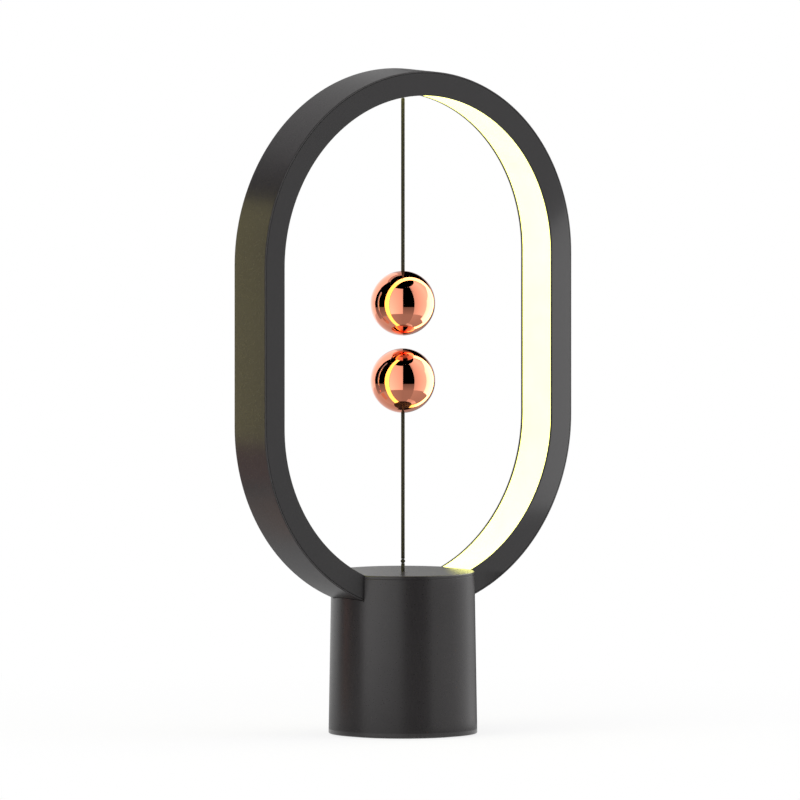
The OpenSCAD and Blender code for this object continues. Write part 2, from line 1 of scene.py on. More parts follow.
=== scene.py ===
"""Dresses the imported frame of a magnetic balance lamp, lit and standing on a pale floor.

Front is -Y, up is +Z, lengths are metres. An upright oval light ring stands on a round base,
and two polished balls on braided cords float towards each other inside it.
"""

import json
import math

import bmesh
import bpy
import numpy as np
from mathutils import Matrix, Vector

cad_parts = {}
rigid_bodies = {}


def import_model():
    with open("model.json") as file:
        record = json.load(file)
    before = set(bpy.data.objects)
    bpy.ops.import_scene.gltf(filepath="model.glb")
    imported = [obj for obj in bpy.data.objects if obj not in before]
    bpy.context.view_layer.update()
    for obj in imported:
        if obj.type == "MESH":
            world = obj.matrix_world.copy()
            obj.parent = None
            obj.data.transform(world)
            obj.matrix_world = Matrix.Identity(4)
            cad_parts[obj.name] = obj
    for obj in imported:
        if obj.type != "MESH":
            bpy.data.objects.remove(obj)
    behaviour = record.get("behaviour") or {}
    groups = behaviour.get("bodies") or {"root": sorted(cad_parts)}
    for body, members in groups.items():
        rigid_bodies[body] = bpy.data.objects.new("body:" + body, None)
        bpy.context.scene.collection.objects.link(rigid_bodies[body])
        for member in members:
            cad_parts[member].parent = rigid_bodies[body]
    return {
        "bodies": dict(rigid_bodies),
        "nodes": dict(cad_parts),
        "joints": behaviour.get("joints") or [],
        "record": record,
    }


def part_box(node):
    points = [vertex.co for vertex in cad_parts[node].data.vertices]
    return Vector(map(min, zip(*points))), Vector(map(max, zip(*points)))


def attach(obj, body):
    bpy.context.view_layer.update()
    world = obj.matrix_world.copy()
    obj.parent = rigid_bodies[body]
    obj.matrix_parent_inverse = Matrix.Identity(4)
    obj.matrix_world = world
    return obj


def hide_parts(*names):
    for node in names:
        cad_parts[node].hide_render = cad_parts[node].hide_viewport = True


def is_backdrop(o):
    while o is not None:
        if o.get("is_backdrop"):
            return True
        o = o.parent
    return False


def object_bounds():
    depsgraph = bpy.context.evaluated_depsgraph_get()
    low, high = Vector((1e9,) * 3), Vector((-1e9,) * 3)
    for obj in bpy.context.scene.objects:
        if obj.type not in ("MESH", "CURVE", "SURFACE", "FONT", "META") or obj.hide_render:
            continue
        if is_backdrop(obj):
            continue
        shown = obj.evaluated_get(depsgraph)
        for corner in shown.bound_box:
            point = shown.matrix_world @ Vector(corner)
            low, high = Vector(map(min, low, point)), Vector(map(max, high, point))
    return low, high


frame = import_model()
FRAME_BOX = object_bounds()

bl_info = {
    "name": "Magnetic balance lamp",
    "version": (1, 0, 0),
    "blender": (4, 5, 0),
    "location": "3D View > Sidebar > Lamp",
    "description": "Dresses the packed frame of a magnetic balance lamp",
    "category": "Object",
}

MM = 0.001
WHITE = (1.0, 1.0, 1.0, 1.0)
SMALL_EDGE = 0.05 * MM  # the smallest rounding that a moulded edge gets
SHARP = math.radians(35)  # an edge that turns further than this is shaded sharp
CUT_REACH = 30 * MM  # how far a cutter goes from the middle, past everything
DRILL_L = 4 * MM  # how long a drill is, longer than any hole
OVER_THE_SHELL = 70 * MM  # a level above the shell
UNDER_THE_CAP = 50 * MM  # a level below the cap


def span(node):
    """Lowest and highest corner of a frame node, as arrays."""
    low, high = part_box(node)
    return np.array(low), np.array(high)


RING_LOW, RING_HIGH = span("ring_channel")
RING_R = (RING_HIGH[0] - RING_LOW[0]) / 2
RING_HALF = (RING_HIGH[1] - RING_LOW[1]) / 2
UPPER_C = RING_HIGH[2] - RING_R
LOWER_C = RING_LOW[2] + RING_R
SHELL_LOW, SHELL_HIGH = span("base_shell")
CAP_LOW, CAP_HIGH = span("top_cap")
SHELL_R_TOP = CAP_HIGH[1]
SHELL_R_BOTTOM = SHELL_HIGH[1]


def linear(code):
    """Linear red, green and blue of an sRGB hex colour."""
    c = np.array([int(code[i : i + 2], 16) for i in (1, 3, 5)]) / 255
    return tuple(np.where(c <= 0.04045, c / 12.92, ((c + 0.055) / 1.055) ** 2.4))


def length(name, description, default, low=0.0, high=1.0):
    """A length in metres that a user may change."""
    return bpy.props.FloatProperty(
        name=name,
        description=description,
        default=default,
        min=low,
        max=high,
        precision=5,
        subtype="DISTANCE",
        unit="LENGTH",
    )


def colour(name, description, code):
    """A colour that a user may change, given as sRGB hex."""
    return bpy.props.FloatVectorProperty(
        name=name,
        description=description,
        default=linear(code),
        size=3,
        min=0.0,
        max=1.0,
        subtype="COLOR",
    )


def number(name, description, default, low=0.0, high=10.0):
    """A plain number that a user may change."""
    return bpy.props.FloatProperty(
        name=name, description=description, default=default, min=low, max=high
    )


class StudioSizes(bpy.types.PropertyGroup):
    """Camera, floor and lights"""

    azimuth: bpy.props.FloatProperty(
        name="Camera azimuth",
        description="How far the camera stands to the left of the ring's front",
        default=math.radians(35.97),
        subtype="ANGLE",
        unit="ROTATION",
    )
    elevation: bpy.props.FloatProperty(
        name="Camera elevation",
        description="How far the camera looks down",
        default=math.radians(4.354),
        subtype="ANGLE",
        unit="ROTATION",
    )
    view_height: length("View height", "Height that the picture takes in", 0.28036)
    aim_height: length("Aim height", "Height that the camera looks at", 0.1169)
    aim_right: length("Aim right", "How far the aim lies right of that point", -0.00102, -0.1, 0.1)
    aim_up: length("Aim up", "How far the aim lies above that point", 0.000466, -0.1, 0.1)
    distance: length("Camera distance", "From the lamp to the camera", 1.0, 0.5, 5.0)
    floor_size: length("Floor size", "Side of the square floor", 6.0, 1.0, 20.0)
    sky: number("Sky", "Strength of the pale surroundings as plain light", 0.42)
    floor_pale: number("Floor pale", "How far the floor's shadow is washed out", 0.82, 0.0, 1.0)
    shadow_from: length("Shadow from", "Where the floor starts to pale to white", 0.05)
    shadow_to: length("Shadow to", "Where the floor is pure white", 0.3)
    ball_height: length("Ball height", "Height round which the cards stand", 0.137)
    card_distance: length("Card distance", "How far the cards stand off", 0.8, 0.2, 3.0)
    cloth_height: length("Cloth height", "Height of the cards that lie on the floor", 0.002)


class RingSizes(bpy.types.PropertyGroup):
    """The oval ring and its diffuser"""

    width: length("Width", "Radial width of the ring", 8.57 * MM)
    band: length("Band", "Thickness of the outer band", 1.6 * MM)
    wall: length("Wall", "Thickness of the front cover and rear wall", 1.6 * MM)
    lip: length("Lip", "Edge of the cover and wall beside the diffuser", 0.8 * MM)
    rim: length("Rim", "Rim of the band that shows round the cover", 0.5 * MM)
    gap: length("Gap", "Clearance round the cover and the diffuser", 0.1 * MM)
    recess: length("Recess", "How far the diffuser lies back", 0.2 * MM)
    opal: length("Diffuser", "Thickness of the diffuser", 1.2 * MM)
    opal_end: length("Diffuser end", "Distance of its ends from the middle", 13 * MM)
    edge: length("Edge", "Rounding of the band's rear edge", 0.25 * MM)
    front_edge: length("Front edge", "Rounding of the band's front edge", 0.18 * MM)
    cord_hole: length("Cord hole", "Radius of the lower cord's hole", 2 * MM)
    lead_hole: length("Lead hole", "Radius of the leads' hole", 1.8 * MM)
    boss_r: length("Boss", "Radius of the boss that holds the anchor pin", 1.7 * MM)
    boss_l: length("Boss length", "How far that boss stands out over the pin's end", 3 * MM)
    steps: bpy.props.IntProperty(
        name="Steps", description="Facets in half a circle of the ring", default=96, min=24, max=180
    )


class BaseSizes(bpy.types.PropertyGroup):
    """The base shell and its cap"""

    wall: length("Wall", "Thickness of the shell", 2 * MM)
    shoulder: length("Shoulder", "Width of the inner shoulder", 0.7 * MM)
    shoulder_z: length("Shoulder height", "Height of that shoulder", 43.9 * MM)
    spigot: length("Spigot", "Depth of the cap's spigot", 2 * MM)
    gap: length("Gap", "Clearance round the ring and the spigot", 0.1 * MM)
    foot_edge: length("Foot edge", "Rounding of the lower edge", 0.4 * MM)
    cap_edge: length("Cap edge", "Rounding of the cap's edge", 0.5 * MM)
    seam_edge: length("Seam edge", "Rounding of the two edges at the seam", 0.12 * MM)
    guide_r: length("Guide radius", "Radius of the cord guide's hole", 1.82 * MM)
    post_r: length("Post radius", "Radius of the posts inside", 3 * MM)
    post_ring: length("Post ring", "Distance of the cover posts from the middle", 19.5 * MM)
    post_top: length("Post top", "Height of the cover posts' tops", 30 * MM)
    web: length("Web", "Thickness of the webs that join the posts to the shell", 3 * MM)
    web_bite: length("Web bite", "How far a web reaches into its post", 0.5 * MM)
    boss_y: length("Boss distance", "Distance of the cap's bosses from the middle", 16 * MM)
    screw_r: length("Screw hole", "Radius of the screws' holes", 1.05 * MM)
    inlet_z: length("Inlet height", "Height of the charging inlet", 23.63 * MM)
    inlet_half: length("Inlet half width", "Half the flat width of the inlet", 2.84 * MM)
    inlet_r: length("Inlet radius", "Radius of the inlet's round ends", 1.83 * MM)
    inlet_in: length("Inlet start", "Where the inlet's cut starts from the middle", 18 * MM)
    steps: bpy.props.IntProperty(
        name="Steps", description="Facets round the base", default=160, min=24, max=360
    )


class BallSizes(bpy.types.PropertyGroup):
    """The two balls and their cords"""

    hole_r: length("Hole radius", "Radius of the cord's hole in a ball", 0.75 * MM)
    hole_depth: length("Hole depth", "Depth of that hole", 3 * MM)
    cord: length("Cord", "Diameter of the cords", 1.3 * MM)
    bead_r: length("Bead", "Radius of the cord's bead at its exit", 0.8 * MM)
    strand: length("Strand", "Spacing of the braid's strands, wider than the real 0.3 mm", 0.9 * MM)
    knot_r: length("Knot", "Radius of the knot under the rocker", 1.7 * MM)


class Finishes(bpy.types.PropertyGroup):
    """Colours of the lamp"""

    shell: colour("Shell", "Black plastic of the base and the ring's band", "#221f20")
    cover: colour("Cover", "Black plastic of the ring's front cover", "#1a1819")
    copper: colour("Copper", "Polished balls", "#f99e7f")
    cord: colour("Cord", "Braided cord", "#252319")
    opal: colour("Opal", "Light that the diffuser gives", "#ffff73")
    light: number("Light", "Strength of the diffuser's light", 2.7)


class LampSettings(bpy.types.PropertyGroup):
    """All sizes and colours of the lamp"""

    studio: bpy.props.PointerProperty(type=StudioSizes)
    ring: bpy.props.PointerProperty(type=RingSizes)
    base: bpy.props.PointerProperty(type=BaseSizes)
    balls: bpy.props.PointerProperty(type=BallSizes)
    finishes: bpy.props.PointerProperty(type=Finishes)


# --- Surfaces ----------------------------------------------------------------------------


def quads(rows, cols, close_rows=False, close_cols=True):
    """Corner numbers of the faces of a grid of points, row after row."""
    i = np.arange(rows if close_rows else rows - 1)[:, None]
    j = np.arange(cols if close_cols else cols - 1)[None, :]
    i, j = np.broadcast_arrays(i, j)
    here, beyond = i * cols, (i + 1) % rows * cols
    left, right = j, (j + 1) % cols
    return np.stack([here + left, beyond + left, beyond + right, here + right], -1).reshape(-1, 4)


def rounded(corners, radii, steps=4, hold=0.25 * MM):
    """A closed outline whose corners are arcs.

    The arc of radius r at a corner of half angle h starts r / tan h before the corner and turns
    about the point r / sin h along the corner's middle line. A point on each side of the arc
    keeps the flats flat when the surface is shaded smooth.
    """
    corner = np.asarray(corners, float)
    r = np.broadcast_to(np.asarray(radii, float), len(corner))[:, None]
    back, ahead = np.roll(corner, 1, 0) - corner, np.roll(corner, -1, 0) - corner
    back_l = np.linalg.norm(back, axis=1, keepdims=True)
    ahead_l = np.linalg.norm(ahead, axis=1, keepdims=True)
    a, b = back / back_l, ahead / ahead_l
    half = np.arccos(np.clip((a * b).sum(1, keepdims=True), -1, 1)) / 2
    tangent = r / np.tan(half)
    centre = corner + (a + b) / np.linalg.norm(a + b, axis=1, keepdims=True) * r / np.sin(half)
    start, end = corner + a * tangent - centre, corner + b * tangent - centre
    turn = (np.pi - 2 * half)[:, :, None]
    t = np.linspace(0, 1, steps + 1)[None, :, None]
    arc = np.sin((1 - t) * turn) * start[:, None] + np.sin(t * turn) * end[:, None]
    arc = arc / np.sin(turn) + centre[:, None]
    before = corner + a * (tangent + np.minimum(hold, (back_l - 2 * tangent) / 4))
    after = corner + b * (tangent + np.minimum(hold, (ahead_l - 2 * tangent) / 4))
    return np.concatenate([before[:, None], arc, after[:, None]], 1).reshape(-1, 2)


def oval_path(steps, r, end_x):
    """Angles and centre heights round the ring's oval.

    They run anticlockwise from the right of the lowest point to the left of it; end_x leaves
    the part within that distance of the middle out, at radius r.
    """
    skip = math.asin(end_x / r)
    quarter = np.linspace(skip, np.pi / 2, steps // 2 + 1) - np.pi / 2
    half = np.linspace(0, np.pi, steps + 1)
    angle = np.concatenate([quarter, half, np.pi - quarter[::-1]])
    centre = np.repeat([LOWER_C, UPPER_C, LOWER_C], [len(quarter), len(half), len(quarter)])
    return angle, centre


def oval_sweep(profile, steps, end_x=0.0):
    """A profile of radius and depth carried round the oval: x = r cos a, z = c + r sin a."""
    angle, centre = oval_path(steps, profile[:, 0].min(), end_x)
    if end_x == 0:
        angle, centre = angle[:-1], centre[:-1]
    r, y = profile.T
    x = np.cos(angle)[:, None] * r
    z = centre[:, None] + np.sin(angle)[:, None] * r
    points = np.stack([x, np.broadcast_to(y, x.shape), z], -1).reshape(-1, 3)
    faces = quads(len(angle), len(r), close_rows=end_x == 0).tolist()
    if end_x > 0:
        faces += [list(range(len(r))), list(range(len(points) - len(r), len(points)))]
    return points, faces


def turned(profile, steps, centre=(0, 0, 0), closed=True):
    """A profile of radius and height turned about Z: x = r cos t, y = r sin t."""
    t = np.linspace(0, 2 * np.pi, steps, endpoint=False)
    r, z = np.asarray(profile, float).T
    x, y = r[:, None] * np.cos(t), r[:, None] * np.sin(t)
    points = np.stack([x, y, np.broadcast_to(z[:, None], x.shape)], -1).reshape(-1, 3)
    return points + np.asarray(centre, float), quads(len(r), steps, close_rows=closed).tolist()


def drill(r, foot, steps=24):
    """An upright round cutter that stands on a point."""
    return turned([(0, 0), (r, 0), (r, DRILL_L), (0, DRILL_L)], steps, foot)


def prism(outline, y0, y1):
    """An outline in x and z carried along Y from y0 to y1, with flat ends."""
    n = len(outline)
    x, z = np.asarray(outline, float).T
    points = [np.stack([x, np.full(n, y), z], -1) for y in (y0, y1)]
    faces = quads(2, n).tolist() + [list(range(n)), list(range(n, 2 * n))]
    return np.concatenate(points), faces


def block(low, high):
    """A plain block between two corners."""
    (x0, y0, z0), (x1, y1, z1) = low, high
    return prism([(x0, z0), (x1, z0), (x1, z1), (x0, z1)], y0, y1)


def tube(path, r, sides=24):
    """A round tube along a path: p(s) + r (cos t u + sin t v), with u and v square to the path."""
    path = np.asarray(path, float)
    along = np.gradient(path, axis=0)
    along /= np.linalg.norm(along, axis=1, keepdims=True)
    u = np.cross(along, [0, 1, 0])
    u /= np.linalg.norm(u, axis=1, keepdims=True)
    v = np.cross(along, u)
    t = np.linspace(0, 2 * np.pi, sides, endpoint=False)[None, :, None]
    points = path[:, None] + r * (np.cos(t) * u[:, None] + np.sin(t) * v[:, None])
    n = len(path)
    faces = quads(n, sides).tolist()
    faces += [list(range(sides)), list(range((n - 1) * sides, n * sides))]
    return points.reshape(-1, 3), faces


def plain_mesh(name, points, faces):
    """An object with just these points and faces."""
    mesh = bpy.data.meshes.new(name)
    mesh.from_pydata(np.asarray(points).tolist(), [], [list(face) for face in faces])
    obj = bpy.data.objects.new(name, mesh)
    bpy.context.scene.collection.objects.link(obj)
    return obj


def make(name, *parts):
    """One object of closed parts, welded, facing outwards and shaded smooth."""
    points, faces, first = [], [], 0
    for part_points, part_faces in parts:
        points.append(part_points)
        faces += [[first + k for k in face] for face in part_faces]
        first += len(part_points)
    obj = plain_mesh(name, np.concatenate(points), faces)
    mesh = obj.data
    weld = bmesh.new()
    weld.from_mesh(mesh)
    bmesh.ops.remove_doubles(weld, verts=weld.verts, dist=1e-7)
    bmesh.ops.recalc_face_normals(weld, faces=weld.faces)
    weld.to_mesh(mesh)
    weld.free()
    mesh.polygons.foreach_set("use_smooth", np.ones(len(mesh.polygons), bool))
    return obj


def cut_out(obj, *cutters):
    """Takes the closed cutters out of an object, and keeps the new edges sharp."""
    for part in cutters:
        tool = make("cutter", part)
        modifier = obj.modifiers.new("cut", "BOOLEAN")
        modifier.operation = "DIFFERENCE"
        modifier.solver = "EXACT"
        modifier.object = tool
        bpy.context.view_layer.update()
        graph = bpy.context.evaluated_depsgraph_get()
        mesh = bpy.data.meshes.new_from_object(obj.evaluated_get(graph))
        obj.modifiers.clear()
        before, obj.data = obj.data, mesh
        mesh.name = obj.name
        bpy.data.meshes.remove(before)
        used = tool.data
        bpy.data.objects.remove(tool)
        bpy.data.meshes.remove(used)
    obj.data.polygons.foreach_set("use_smooth", np.ones(len(obj.data.polygons), bool))
    obj.data.set_sharp_from_angle(angle=SHARP)
    return obj


def round_the_path(obj, strands):
    """A map for patterns that follow a cord: u = atan2(y, x) / 2 pi and v = z n, where n is
    the number of strands to the metre."""
    mesh = obj.data
    corner = np.empty(len(mesh.loops), int)
    mesh.loops.foreach_get("vertex_index", corner)
    points = np.empty(len(mesh.vertices) * 3)
    mesh.vertices.foreach_get("co", points)
    x, y, z = points.reshape(-1, 3)[corner].T
    turn = np.arctan2(y, x) / (2 * np.pi)
    counts = np.empty(len(mesh.polygons), int)
    mesh.polygons.foreach_get("loop_total", counts)
    first = np.repeat(np.concatenate([[0], np.cumsum(counts)[:-1]]), counts)
    turn = turn + np.round(turn[first] - turn)
    layer = mesh.uv_layers.new(name="braid")
    layer.data.foreach_set("uv", np.stack([turn, z * strands], -1).ravel())
    return obj


def dress(obj, material, body, slot, *nodes):
    """Gives a piece its material and body, and hides the nodes it stands for; the finish's slot is
    not used.
    """
    obj.data.materials.clear()
    obj.data.materials.append(material)
    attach(obj, body)
    if nodes:
        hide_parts(*nodes)
    return obj


# --- Materials ---------------------------------------------------------------------------


def add_node(tree, kind, inputs=None, ramp=None, **settings):
    """One node with its settings; an input takes a value or another node's output."""
    node = tree.nodes.new(kind)
    for name, value in settings.items():
        setattr(node, name, value)
    for name, value in (inputs or {}).items():
        if isinstance(value, bpy.types.NodeSocket):
            tree.links.new(value, node.inputs[name])
        else:
            node.inputs[name].default_value = value
    if ramp:
        stops = node.color_ramp.elements
        while len(stops) < len(ramp):
            stops.new(1.0)
        for stop, (place, shade) in zip(stops, ramp):
            stop.position = place
            stop.color = (*shade, 1.0) if hasattr(shade, "__len__") else (shade, shade, shade, 1.0)
    return node


def scaled(shade, factor):
    """A colour made lighter or darker by a factor."""
    return tuple(min(1.0, c * factor) for c in shade)


def finish(name, **inputs):
    """A new material: its node tree, its shader and the piece's own coordinates."""
    material = bpy.data.materials.new(name)
    material.use_nodes = True
    tree = material.node_tree
    shader = tree.nodes["Principled BSDF"]
    for key, value in inputs.items():
        socket = shader.inputs[key.replace("_", " ")]
        socket.default_value = (*value, 1.0) if hasattr(value, "__len__") else value
    where = add_node(tree, "ShaderNodeTexCoord").outputs["Object"]
    return material, tree, shader, where


def noise(tree, where, scale, detail):
    """Level of a cloudy noise, from 0 to 1."""
    return add_node(
        tree, "ShaderNodeTexNoise", {"Vector": where, "Scale": scale, "Detail": detail}
    ).outputs["Fac"]


def give_tone(tree, shader, level, *stops, socket="Base Color"):
    """Colours a material by a level, through colour stops."""
    tone = add_node(tree, "ShaderNodeValToRGB", {"Fac": level}, ramp=stops)
    tree.links.new(tone.outputs["Color"], shader.inputs[socket])


def give_gloss(tree, shader, level, low, high):
    """Makes a material duller where a level is high."""
    ends = {"From Min": 0.3, "From Max": 0.7, "To Min": low, "To Max": high}
    gloss = add_node(tree, "ShaderNodeMapRange", {"Value": level, **ends})
    tree.links.new(gloss.outputs["Result"], shader.inputs["Roughness"])


def give_relief(tree, shader, level, depth, strength=1.0):
    """Raises a material's surface by a level, to a depth in metres."""
    bump = add_node(
        tree, "ShaderNodeBump", {"Height": level, "Distance": depth, "Strength": strength}
    )
    tree.links.new(bump.outputs["Normal"], shader.inputs["Normal"])


def moulded_plastic(name, shade, roughness, grain, depth, ior=1.5):
    """Plastic from a spark-eroded mould: a fine even grain softens its gloss, and the flow of
    the melt leaves faint cloudy changes in it."""
    material, tree, shader, where = finish(name, IOR=ior)
    cloud = noise(tree, where, 60.0, 3.0)
    give_tone(tree, shader, cloud, (0.3, scaled(shade, 0.92)), (0.7, scaled(shade, 1.08)))
    pits = noise(tree, where, 1 / grain, 2.0)
    give_gloss(tree, shader, pits, roughness - 0.03, roughness + 0.03)
    give_relief(tree, shader, pits, depth)
    return material


def lit_opal(name, shade, strength):
    """Opal acrylic, extruded: it scatters the chips' light so well that it glows evenly, a
    little warmer where it is clear of the chips' beams."""
    material, tree, shader, where = finish(name, IOR=1.49, Roughness=0.35)
    streak = noise(tree, where, 90.0, 1.0)
    give_tone(tree, shader, streak, (0.3, linear("#bcb9ad")), (0.7, linear("#c6c3b8")))
    glow = (0.2, scaled(shade, 0.97)), (0.8, shade)
    give_tone(tree, shader, streak, *glow, socket="Emission Color")
    shader.inputs["Emission Strength"].default_value = strength
    return material


def polished_metal(name, shade, roughness, swirl):
    """Plated and buffed metal: a mirror, with faint cloudy swirls left by the buff."""
    material, tree, shader, where = finish(name, Metallic=1.0)
    cloud = noise(tree, where, 1 / swirl, 4.0)
    give_tone(tree, shader, cloud, (0.3, scaled(shade, 0.97)), (0.7, shade))
    give_gloss(tree, shader, cloud, roughness * 0.7, roughness * 1.3)
    return material


def machined_metal(name, shade, roughness, line):
    """Turned, drawn or stamped metal: fine tool lines across it break up its shine."""
    material, tree, shader, where = finish(name, Metallic=1.0, Roughness=roughness)
    across = add_node(tree, "ShaderNodeMapping", {"Vector": where, "Scale": (1.0, 1.0, 12.0)})
    lines = noise(tree, across.outputs["Vector"], 0.1 / line, 3.0)
    give_tone(tree, shader, lines, (0.3, scaled(shade, 0.85)), (0.7, shade))
    give_relief(tree, shader, lines, 0.004 * MM)
    return material


def braided_cord(name, shade):
    """Braided polyester: two sets of strands cross on the slant, with painted shade where each dips
    under the other and painted light on their crowns, and the soft sheen of its filaments."""
    material, tree, shader, _ = finish(
        name,
        IOR=1.55,
        Roughness=0.75,
        Specular_IOR_Level=0.2,
        Sheen_Weight=0.08,
        Sheen_Roughness=0.5,
    )
    around = add_node(tree, "ShaderNodeUVMap", uv_map="braid").outputs["UV"]
    crossed = 4.0  # strands that a strand crosses on its way round the cord
    half_wave = 0.318  # scale at which a strand is half a wave
    strands = []
    for lean in (-1.0, 1.0):
        slant = add_node(
            tree, "ShaderNodeMapping", {"Vector": around, "Scale": (crossed * lean, 1.0, 0.0)}
        )
        strands.append(
            add_node(
                tree,
                "ShaderNodeTexWave",
                {"Vector": slant.outputs["Vector"], "Scale": half_wave},
                wave_type="BANDS",
                bands_direction="DIAGONAL",
                wave_profile="SIN",
            ).outputs["Fac"]
        )
    over = add_node(
        tree, "ShaderNodeMath", {0: strands[0], 1: strands[1]}, operation="MAXIMUM"
    ).outputs["Value"]
    # painted shade darkens the dips where a strand passes under the other, and the crowns are
    # painted lighter
    give_tone(tree, shader, over, (0.25, scaled(shade, 0.5)), (0.9, scaled(shade, 1.25)))
    give_relief(tree, shader, over, 0.06 * MM, 0.6)
    return material


def cord_inside(name, shade):
    """The same cord where it is tied or knotted out of sight: fibres with no set direction."""
    material, tree, shader, where = finish(name, IOR=1.55, Roughness=0.8)
    fibre = noise(tree, where, 4000.0, 3.0)
    give_tone(tree, shader, fibre, (0.3, scaled(shade, 0.6)), (0.7, scaled(shade, 1.2)))
    return material


def rubber(name, shade):
    """Moulded rubber: dull, with a fine even grain and a dusty bloom."""
    material, tree, shader, where = finish(name, IOR=1.52, Roughness=0.85)
    bloom = noise(tree, where, 250.0, 4.0)
    give_tone(tree, shader, bloom, (0.35, shade), (0.75, scaled(shade, 1.6)))
    give_relief(tree, shader, noise(tree, where, 2500.0, 2.0), 0.02 * MM)
    return material


def printed_board(name, shade):
    """Glass laminate under green varnish: copper tracks show through as paler lines."""
    material, tree, shader, where = finish(name, IOR=1.5, Roughness=0.3)
    tracks = add_node(
        tree,
        "ShaderNodeTexBrick",
        {
            "Vector": where,
            "Scale": 1.0,
            "Color1": (*shade, 1.0),
            "Color2": (*scaled(shade, 0.8), 1.0),
            "Mortar": (*scaled(shade, 1.9), 1.0),
            "Brick Width": 4 * MM,
            "Row Height": 1.5 * MM,
            "Mortar Size": 0.15 * MM,
        },
    )
    tree.links.new(tracks.outputs["Color"], shader.inputs["Base Color"])
    return material


# --- The lamp's materials ----------------------------------------------------------------


def lamp_materials(colours):
    """One material for each finish in the record."""
    return {
        # Black ABS, moulded: satin, and grey where light falls on it
        "black_plastic": moulded_plastic(
            "Moulded ABS, satin black", tuple(colours.shell), 0.3, 0.5 * MM, 1e-7
        ),
        # The same ABS from a finer mould: it takes a deeper black
        "cover_plastic": moulded_plastic(
            "Moulded ABS, deep black", tuple(colours.cover), 0.24, 0.4 * MM, 1e-7, 1.42
        ),
        # The diffuser, lit from behind
        "opal_acrylic": lit_opal("Extruded opal acrylic, lit", tuple(colours.opal), colours.light),
        # White coverlay film of the light strip
        "strip_film": moulded_plastic("Coverlay film, white", linear("#e9e6da"), 0.5, 1 * MM, 2e-6),
        # Phosphor resin of the light chips
        "chip_resin": moulded_plastic(
            "Phosphor resin, cast", linear("#efdc7a"), 0.3, 0.3 * MM, 4e-6
        ),
        # Zinc-plated steel: screws, pins, spring and socket
        "steel": machined_metal("Zinc-plated steel, drawn", linear("#c9cacb"), 0.3, 0.2 * MM),
        # Bare turned steel of the ballast
        "ballast_steel": machined_metal("Mild steel, turned", linear("#8f8f90"), 0.42, 0.3 * MM),
        # Nickel plating of the magnets
        "magnet_nickel": polished_metal("Nickel plating", linear("#d5d2cd"), 0.12, 3 * MM),
        # Copper plating, buffed to a mirror
        "copper_plate": polished_metal(
            "Copper plating, polished", tuple(colours.copper), 0.035, 6 * MM
        ),
        # The cords' hidden ends and knots
        "cord": cord_inside("Polyester cord, tied", tuple(colours.cord)),
        # Black rubber of the foot, pressed in a mould
        "foot_rubber": rubber("Moulded rubber, black", linear("#2a2928")),
        # Green circuit board
        "board_laminate": printed_board("Glass laminate, varnished", linear("#2f5a3a")),
        # Black epoxy of the chips and the switch
        "dark_resin": moulded_plastic(
            "Epoxy resin, moulded black", linear("#222225"), 0.35, 0.3 * MM, 3e-6
        ),
        # Natural nylon of the rocker, button and connector
        "white_plastic": moulded_plastic(
            "Nylon, moulded white", linear("#dcd8cc"), 0.45, 0.5 * MM, 3e-6
        ),
        # Red sleeve of the leads
        "wire_sleeve": moulded_plastic(
            "Soft PVC, extruded red", linear("#a03028"), 0.4, 0.6 * MM, 2e-6
        ),
        # Bare brass of the terminals
        "terminal_brass": machined_metal("Brass, stamped", linear("#d9bd6e"), 0.3, 0.2 * MM),
    }


def material_for(slot):
    """The material made for a finish."""
    return bpy.data.materials[frame["made"][slot]]


# --- Operators ---------------------------------------------------------------------------


